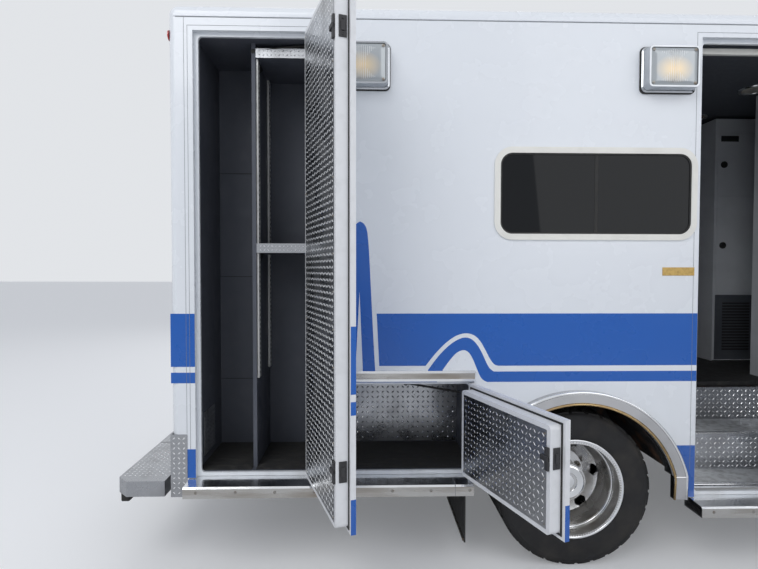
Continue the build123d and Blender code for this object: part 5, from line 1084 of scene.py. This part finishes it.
# Door handles: a paddle in a dished plate on each handle block, with a lock; rear door gaskets
lock_profile = [(0, 8), (3, 8), (3.1, 3)]
for name, door in side_doors.items():
    paddle = door_maker(name)
    z = min(1180, (door.bottom + door.top) / 2)
    x, y = door.rear + 110, door.side * (HALF + 12)
    outer, inner = (((x - w, x + w), (z - h, z + h)) for w, h in ((64, 34), (52, 24)))
    paddle.border(lambda a, b: (a, y, b), outer, inner, outward(door.side), 3)
    paddle.box((x - 40, x + 40), (y, door.side * (HALF + 17)), (z - 14, z + 18))
    paddle.turned((x + 46, y, z), outward(door.side), lock_profile, 12)
    paddle.done(f"{name}_paddle", CHROME, name, bevel=1.5)


def rear_door_rule(middle, normal):
    """Doors white, their handles bright and their panes tinted."""
    in_pane = 109 < abs(middle.y) < 540 and 1698 < middle.z < 2302 and 8 < middle.x < 20
    if in_pane and abs(normal.x) > FACING:
        return TINTED
    return CHROME if middle.x < -5 and 1140 < middle.z < 1220 and abs(middle.y) < 190 else WHITE


PAN_FACE = 75.8
rear_doors = ((CURB, "rear_door_curb"), (STREET, "rear_door_street"))
for side, name in rear_doors:
    paddle, gasket = makers(2)
    y = side * 113.5
    paddle.box((-17, -12), (y - 42, y + 42), (1166, 1198))
    paddle.turned((-12, y + side * 54, 1180), BACK, lock_profile, 12)
    paddle.done(f"{name}_paddle", CHROME, name, bevel=1.5)
    gasket.bars(sorted(span(side, 108, 535)), (1695, 2305), 10, lambda y, z: gasket.box((-2, 1), y, z))
    gasket.done(f"{name}_gasket", RUBBER, name, bevel=1)

# Cab doors: gaskets round the glass, handles, hinge screws, mirror frames and stripes
COWL, BELT, CAB_HALF, FENDER_HALF = 5640.0, 1430.0, 1010.0, 1020
MIRROR_FACE = 5284.5
CAB_RISE = 620  # height of the cab over its belt
SIDE_LEAN, SCREEN_LEAN = 140, 730  # how far its side and windshield lean in over that height
SIDE_NORMAL = (0.9754, 0.2203)  # outward and up
SCREEN_NORMAL = Vector((0.647, 0, 0.762))


def cab_side_depth(point):
    """How far a point lies outside the slanted side of the cab above its belt."""
    return (abs(point.y) - CAB_HALF) * SIDE_NORMAL[0] + (point.z - BELT) * SIDE_NORMAL[1]


def cab_door_rule(middle, normal):
    """Glass clear, mirrors dark with bright glass, handles bright and the rest white."""
    if middle.z > BELT + 25 and -22.5 < cab_side_depth(middle) < -13.5:
        return CLEAR
    if abs(middle.y) > CAB_HALF + 60:
        return MIRROR if normal.x < -FACING and middle.z > 1300 else TRIM
    is_handle = abs(middle.y) > CAB_HALF + 3.2 and 4400 < middle.x < 4700
    return CHROME if is_handle else WHITE


def on_side(x, z, side, out=0.3):
    """A point on the cab's slanted side."""
    return (x, side * (CAB_HALF - (z - BELT) * SIDE_LEAN / CAB_RISE + out * 0.975), z + out * 0.22)


def on_screen(y, z, out=0.0):
    """A point on the slanted windshield."""
    x = COWL - (z - BELT) * SCREEN_LEAN / CAB_RISE
    return (x + SCREEN_NORMAL.x * out, y, z + SCREEN_NORMAL.z * out)


opening = [(4490, 1460), (4490, 1895), (5007, 1895), (5444, 1460)]
grown = [(4478, 1448), (4478, 1905), (5013, 1905), (5468, 1448)]
for side, name in ((STREET, "cab_door_left"), (CURB, "cab_door_right")):
    paint(name, cab_door_rule)
    gasket, steel, film = makers(3)
    outer, inner = ([on_side(x, z, side) for x, z in line] for line in (grown, opening))
    gasket.band(outer, inner, (0, side * SIDE_NORMAL[0], SIDE_NORMAL[1]), 3)
    gasket.box((4488, 5470), span(side, CAB_HALF, CAB_HALF + 5), (1432, 1446))
    gasket.box((4640, 4668), span(side, CAB_HALF, CAB_HALF + 13), (1286, 1334))
    gasket.done(f"{name}_gasket", RUBBER, name, bevel=1)
    steel.box((4484, 4606), span(side, CAB_HALF + 12, CAB_HALF + 16), (1294, 1326))
    for z in (850, 1200):
        for k in (22, 68):
            steel.turned((5548, side * (CAB_HALF + 3), z + k), outward(side), [(0, 6), (3, 5)], 8)
    outer, inner = ((span(side, 1086, 1324), (1321, 1749)), (span(side, 1097, 1313), (1332, 1738)))
    steel.border(lambda y, z: (MIRROR_FACE, y, z), outer, inner, BACK, 3)
    steel.done(f"{name}_bright_parts", CHROME, name, bevel=1.5)
    for z in bands:
        stripe(film, side, rectangle((4432, 5534), z), CAB_HALF)
    film.done(f"{name}_stripes", BLUE, name)

# Windshield gasket and wipers, roof marker lamps
glass, markers, bases = makers(3)
outer, inner = (
    [on_screen(y, z, 0.3) for y, z in ((-low, bottom), (-high, top), (high, top), (low, bottom))]
    for low, high, bottom, top in ((872, 756, 1486, 1988), (842, 734, 1506, 1969))
)
glass.band(outer, inner, SCREEN_NORMAL, 5)
for foot, tip in ((-640, -80), (120, 700)):
    arm = ((foot, 1474, 16), ((foot + tip) / 2, 1512, 20), (tip, 1560, 8))
    glass.tube([on_screen(*p) for p in arm], 5, 8)
    glass.tube([on_screen(foot + 180, 1540, 3), on_screen(tip + 40, 1550, 3)], 4, 6)
    glass.turned(on_screen(foot, 1474), SCREEN_NORMAL, [(0, 16), (18, 14), (22, 8)], 12)
glass.done("windshield_gasket_and_wipers", RUBBER)
for y in (-640, -150, 0, 150, 640):
    markers.turned((4800, y, 2050), UP, [(0, 24), (14, 22), (24, 14), (27, 2)], 20)
    bases.turned((4800, y, 2050), UP, [(0, 30), (4, 30), (5, 24)], 20)
markers.done("roof_marker_lamps", AMBER)
bases.done("roof_marker_bases", TRIM)

# Grille mesh: a dark sheet with upright wires before it
MESH_X, MESH_WIRES, MESH_PITCH, WIRE = 7108, 57, 20, 4
mesh = Maker()
mesh.box((MESH_X, MESH_X + 4), (-600, 600), (790, 1190))
for k in range(MESH_WIRES):
    y = -562 + k * MESH_PITCH
    mesh.box((MESH_X + 64, MESH_X + 64 + WIRE), (y, y + WIRE), (800, 1180))
mesh.done("grille_mesh", TRIM)

# Inner plates of the rear doors
for side, name in rear_doors:
    paint(name, rear_door_rule)
    inner = Maker()
    y = sorted(span(side, 60, 585))
    inner.box((PAN_FACE, PAN_FACE + PLATE_THICK), y, (850, 1600))
    origin = (PAN_FACE + PLATE_THICK, y[0], 850)
    inner.lozenges(origin, outward(STREET), UP, AHEAD, 525, 750, LARGE_PATTERN)
    inner.box((PAN_FACE, 96), (side * 300 - 90, side * 300 + 90), (1630, 1650))
    inner.done(f"{name}_inner_plate", PLATE, name)

# Front: bright edge of the grille, headlamps, turn lamps, bumper bolts; blank number plates
FRONT_FACE, LAMP_HEIGHT, BUMPER_FACE = 7202, 1050, 7291
chrome, bulbs, turn, blank = makers(4)
paint("headlamps", lambda middle, normal: TRIM)


def on_front(y, z):
    return (FRONT_FACE, y, z)


chrome.border(on_front, ((-586, 586), (776, 1204)), ((-560, 560), (800, 1180)), AHEAD, 8)
for side in SIDES:
    outer, inner = ((span(side, 634, 966), (934, 1166)), (span(side, 652, 948), (952, 1148)))
    chrome.border(on_front, outer, inner, AHEAD, 8)
    for y in span(side, 716, 838):
        centre = (FRONT_FACE, y, LAMP_HEIGHT)
        bulbs.turned(centre, AHEAD, [(0, 54), (5, 54), (9, 40), (11, 20), (11.6, 1)], 32)
        chrome.hoop(centre, AHEAD, [(0, 60), (8, 60), (11, 57), (9, 52), (0, 52)], 40)
        for k in range(-4, 5):
            half, middle = math.sqrt(50**2 - (k * 11) ** 2), y + k * 11
            bulbs.box((7206, 7213), (middle - 1, middle + 1), (LAMP_HEIGHT - half, LAMP_HEIGHT + half))
    turn.box((FRONT_FACE, FRONT_FACE + 6), span(side, 902, 944), (962, 1138))
    for y in (250, 432, 900):
        chrome.turned((BUMPER_FACE, side * y, 690), AHEAD, [(-2, 15), (0.9, 12)], 16)
chrome.done("front_bright_frames", CHROME, bevel=2)
bulbs.done("headlamp_lenses", LENS)
turn.done("turn_lamps", AMBER, bevel=3)
blank.box((BUMPER_FACE, BUMPER_FACE + 1), (-150, 150), (560, 635))
blank.box((-3.5, -1.5), (-150, 150), (600, 750))
blank.done("blank_number_plates", FRAME_WHITE)

# Hood vent, seams and stripes of the cab and fenders, tread plate on the cab steps
vent, cab_seams, swoosh, step_plate = makers(4)
vent.box((5700, 5860), (-520, 520), (1437.5, 1440.4))
vent.done("cowl_vent", TRIM, "hood", bevel=0.5)
TAPER = 5654
for side in SIDES:
    cab_seams.box((5650, 5652), span(side, 1019, 1020.6), (700, 1178))
    for x in ((4272, 4418), (5570, 5638)):
        for z in bands:
            stripe(swoosh, side, rectangle(x, z), CAB_HALF)
    upper = [(TAPER, upper_band[0]), (6950, upper_band[0]), (6350, 1128), (TAPER, 1174)]
    lower = [(TAPER, lower_band[0]), (7030, lower_band[1]), (TAPER, lower_band[1])]
    stripe(swoosh, side, upper, FENDER_HALF)
    stripe(swoosh, side, lower, FENDER_HALF)
    step_plate.lozenges((4432, side * 790, 400), AHEAD, outward(side), UP, 996, 205)
    step_plate.lozenges((4432, side * 788, 405), AHEAD, UP, outward(side), 996, 260)
cab_seams.done("cab_seams", SEAM)
swoosh.done("cab_stripes", BLUE)
step_plate.done("cab_step_lozenges", PLATE)

# Cab inside: instrument hood, switches and pedals
dash = Maker()
dash.box((5292, 5420), (230, 640), (1340, 1412))
dash.box((5275, 5281), (-120, 160), (1130, 1300))
for k in range(3):
    dash.turned((5278, -60 + 60 * k, 1150), BACK, [(0, 14), (12, 12)], 16)
for y in (330, 430, 530):
    dash.box((5420, 5440), (y - 28, y + 28), (890, 950))
dash.done("instrument_hood_and_pedals", TRIM, bevel=6)

# Underside: brake chambers, spring clamps and bolts, axle cover bolts and tank straps
SPRING_Y = 500
chamber = [(-70, 20), (-66, 74), (-8, 78), (-6, 86), (6, 86), (8, 78), (60, 70), (66, 30)]
steel, iron, straps = makers(3)
for side in SIDES:
    iron.turned((1880, side * 300, 470), AHEAD, chamber)
    iron.box((1930, 2030), span(side, 285, 315), (440, 470))
    for axle_x, drop, reach, seat in ((REAR_AXLE, 62, 680, 465.5), (FRONT_AXLE, 40, 560, 363.5)):
        foot = seat - 2 * drop
        for dx in (-58, 58):
            for dy in (-38, 38):
                x, y = axle_x + dx, side * SPRING_Y + dy
                steel.tube([(x, y, foot), (x, y, seat + 84)], 8, 8)
        clamp = (axle_x - 80, axle_x + 80), span(side, SPRING_Y - 48, SPRING_Y + 48)
        iron.box(*clamp, (seat + 57, seat + 72))
        iron.box(*clamp, (foot - 10, foot + 4))
        for dx in (-reach, reach):
            eye = (axle_x + dx, side * 535, 620)
            steel.turned(eye, outward(side), [(-3, 24), (5, 24), (5.1, 16), (14, 14)], 6)
for k in range(12):
    a = math.radians(15 + 30 * k)
    centre = (REAR_AXLE + 120, 150 * math.cos(a), WHEEL_Z + 100 * math.sin(a))
    steel.turned(centre, AHEAD, [(0, 9), (28, 9)], 6)
for x in (640, 1300):
    for y in ((-331.5, -330), (330, 331.5)):
        straps.box((x, x + 46), y, (440, 660))
    straps.box((x, x + 46), (-300, 300), (418, 419.8))
steel.done("spring_bolts", STEEL)
iron.done("brake_chambers_and_clamps", CAST, bevel=3)
straps.done("tank_straps", STEEL)

# Stage, light and camera
HORIZON = (0.80, 0.82, 0.85)
FLOOR_REACH = 60000
floor_maker = Maker()
floor_maker.box((-FLOOR_REACH, FLOOR_REACH), (-FLOOR_REACH, FLOOR_REACH), (-20, 0))
pale = surface("pale_floor", (0.78, 0.78, 0.78), rough=(0.85, 0.95))
floor_tree = pale.node_tree
floor_shader = floor_tree.nodes["Principled BSDF"]
floor_shader.inputs["Emission Color"].default_value = (*HORIZON, 1)
floor_ray = add_node(floor_tree, "LightPath").outputs["Is Camera Ray"]
glow = maths(floor_tree, "MULTIPLY", floor_ray, 0.2)
floor_tree.links.new(glow, floor_shader.inputs["Emission Strength"])
floor = floor_maker.done("stage_floor", pale)
floor.parent = None

world = bpy.data.worlds.new("studio")
bpy.context.scene.world = world
world.use_nodes = True
sky = world.node_tree
light = sky.nodes["Background"]
light.inputs["Color"].default_value = (0.80, 0.84, 0.92, 1)
light.inputs["Strength"].default_value = 0.6
backdrop = add_node(sky, "Background", {"Color": (*HORIZON, 1), "Strength": 0.95})
ray = add_node(sky, "LightPath").outputs
seen = maths(sky, "MAXIMUM", ray["Is Camera Ray"], ray["Is Glossy Ray"])
seen_through = maths(sky, "MAXIMUM", seen, ray["Is Transmission Ray"])
pick = add_node(sky, "MixShader", {"Fac": seen_through, 1: light.outputs[0], 2: backdrop.outputs[0]})
sky.links.new(pick.outputs[0], sky.nodes["World Output"].inputs["Surface"])


def aimed(obj, place, turn):
    """Puts a lamp or a camera at a place, turned."""
    obj.location = at(*place)
    obj.rotation_mode = "QUATERNION"
    obj.rotation_quaternion = turn
    bpy.context.scene.collection.objects.link(obj)


def area(name, place, target, size, power):
    data = bpy.data.lights.new(name, "AREA")
    data.size = size
    data.energy = power
    lamp = bpy.data.objects.new(name, data)
    aimed(lamp, place, (at(*target) - at(*place)).to_track_quat("-Z", "Y"))


area("key", (-2500, -7000, 7000), (1500, -1200, 1200), 5.0, 260)
area("fill", (6500, -6500, 4500), (3500, -1200, 1200), 6.0, 110)
area("back", (1500, 8000, 6500), (2500, 1200, 1500), 6.0, 170)

SENSOR, PHOTO_WIDTH, FOCAL_LENGTH = 36, 758, 526  # sensor in millimetres, photograph in pixels
camera_data = bpy.data.cameras.new("camera")
camera_data.sensor_width = SENSOR
camera_data.lens = SENSOR * FOCAL_LENGTH / PHOTO_WIDTH
yaw, pitch, roll = (math.radians(a) for a in (1.62, 1.67, 0.09))
look = Vector((math.sin(yaw) * math.cos(pitch), math.cos(yaw) * math.cos(pitch), -math.sin(pitch)))
camera = bpy.data.objects.new("camera", camera_data)
turn = look.to_track_quat("-Z", "Y") @ Matrix.Rotation(roll, 3, "Z").to_quaternion()
aimed(camera, (962, -3849, 1546.5), turn)
bpy.context.scene.camera = camera
bpy.context.scene.view_settings.view_transform = "Standard"
bpy.context.scene.view_settings.exposure = 0.0
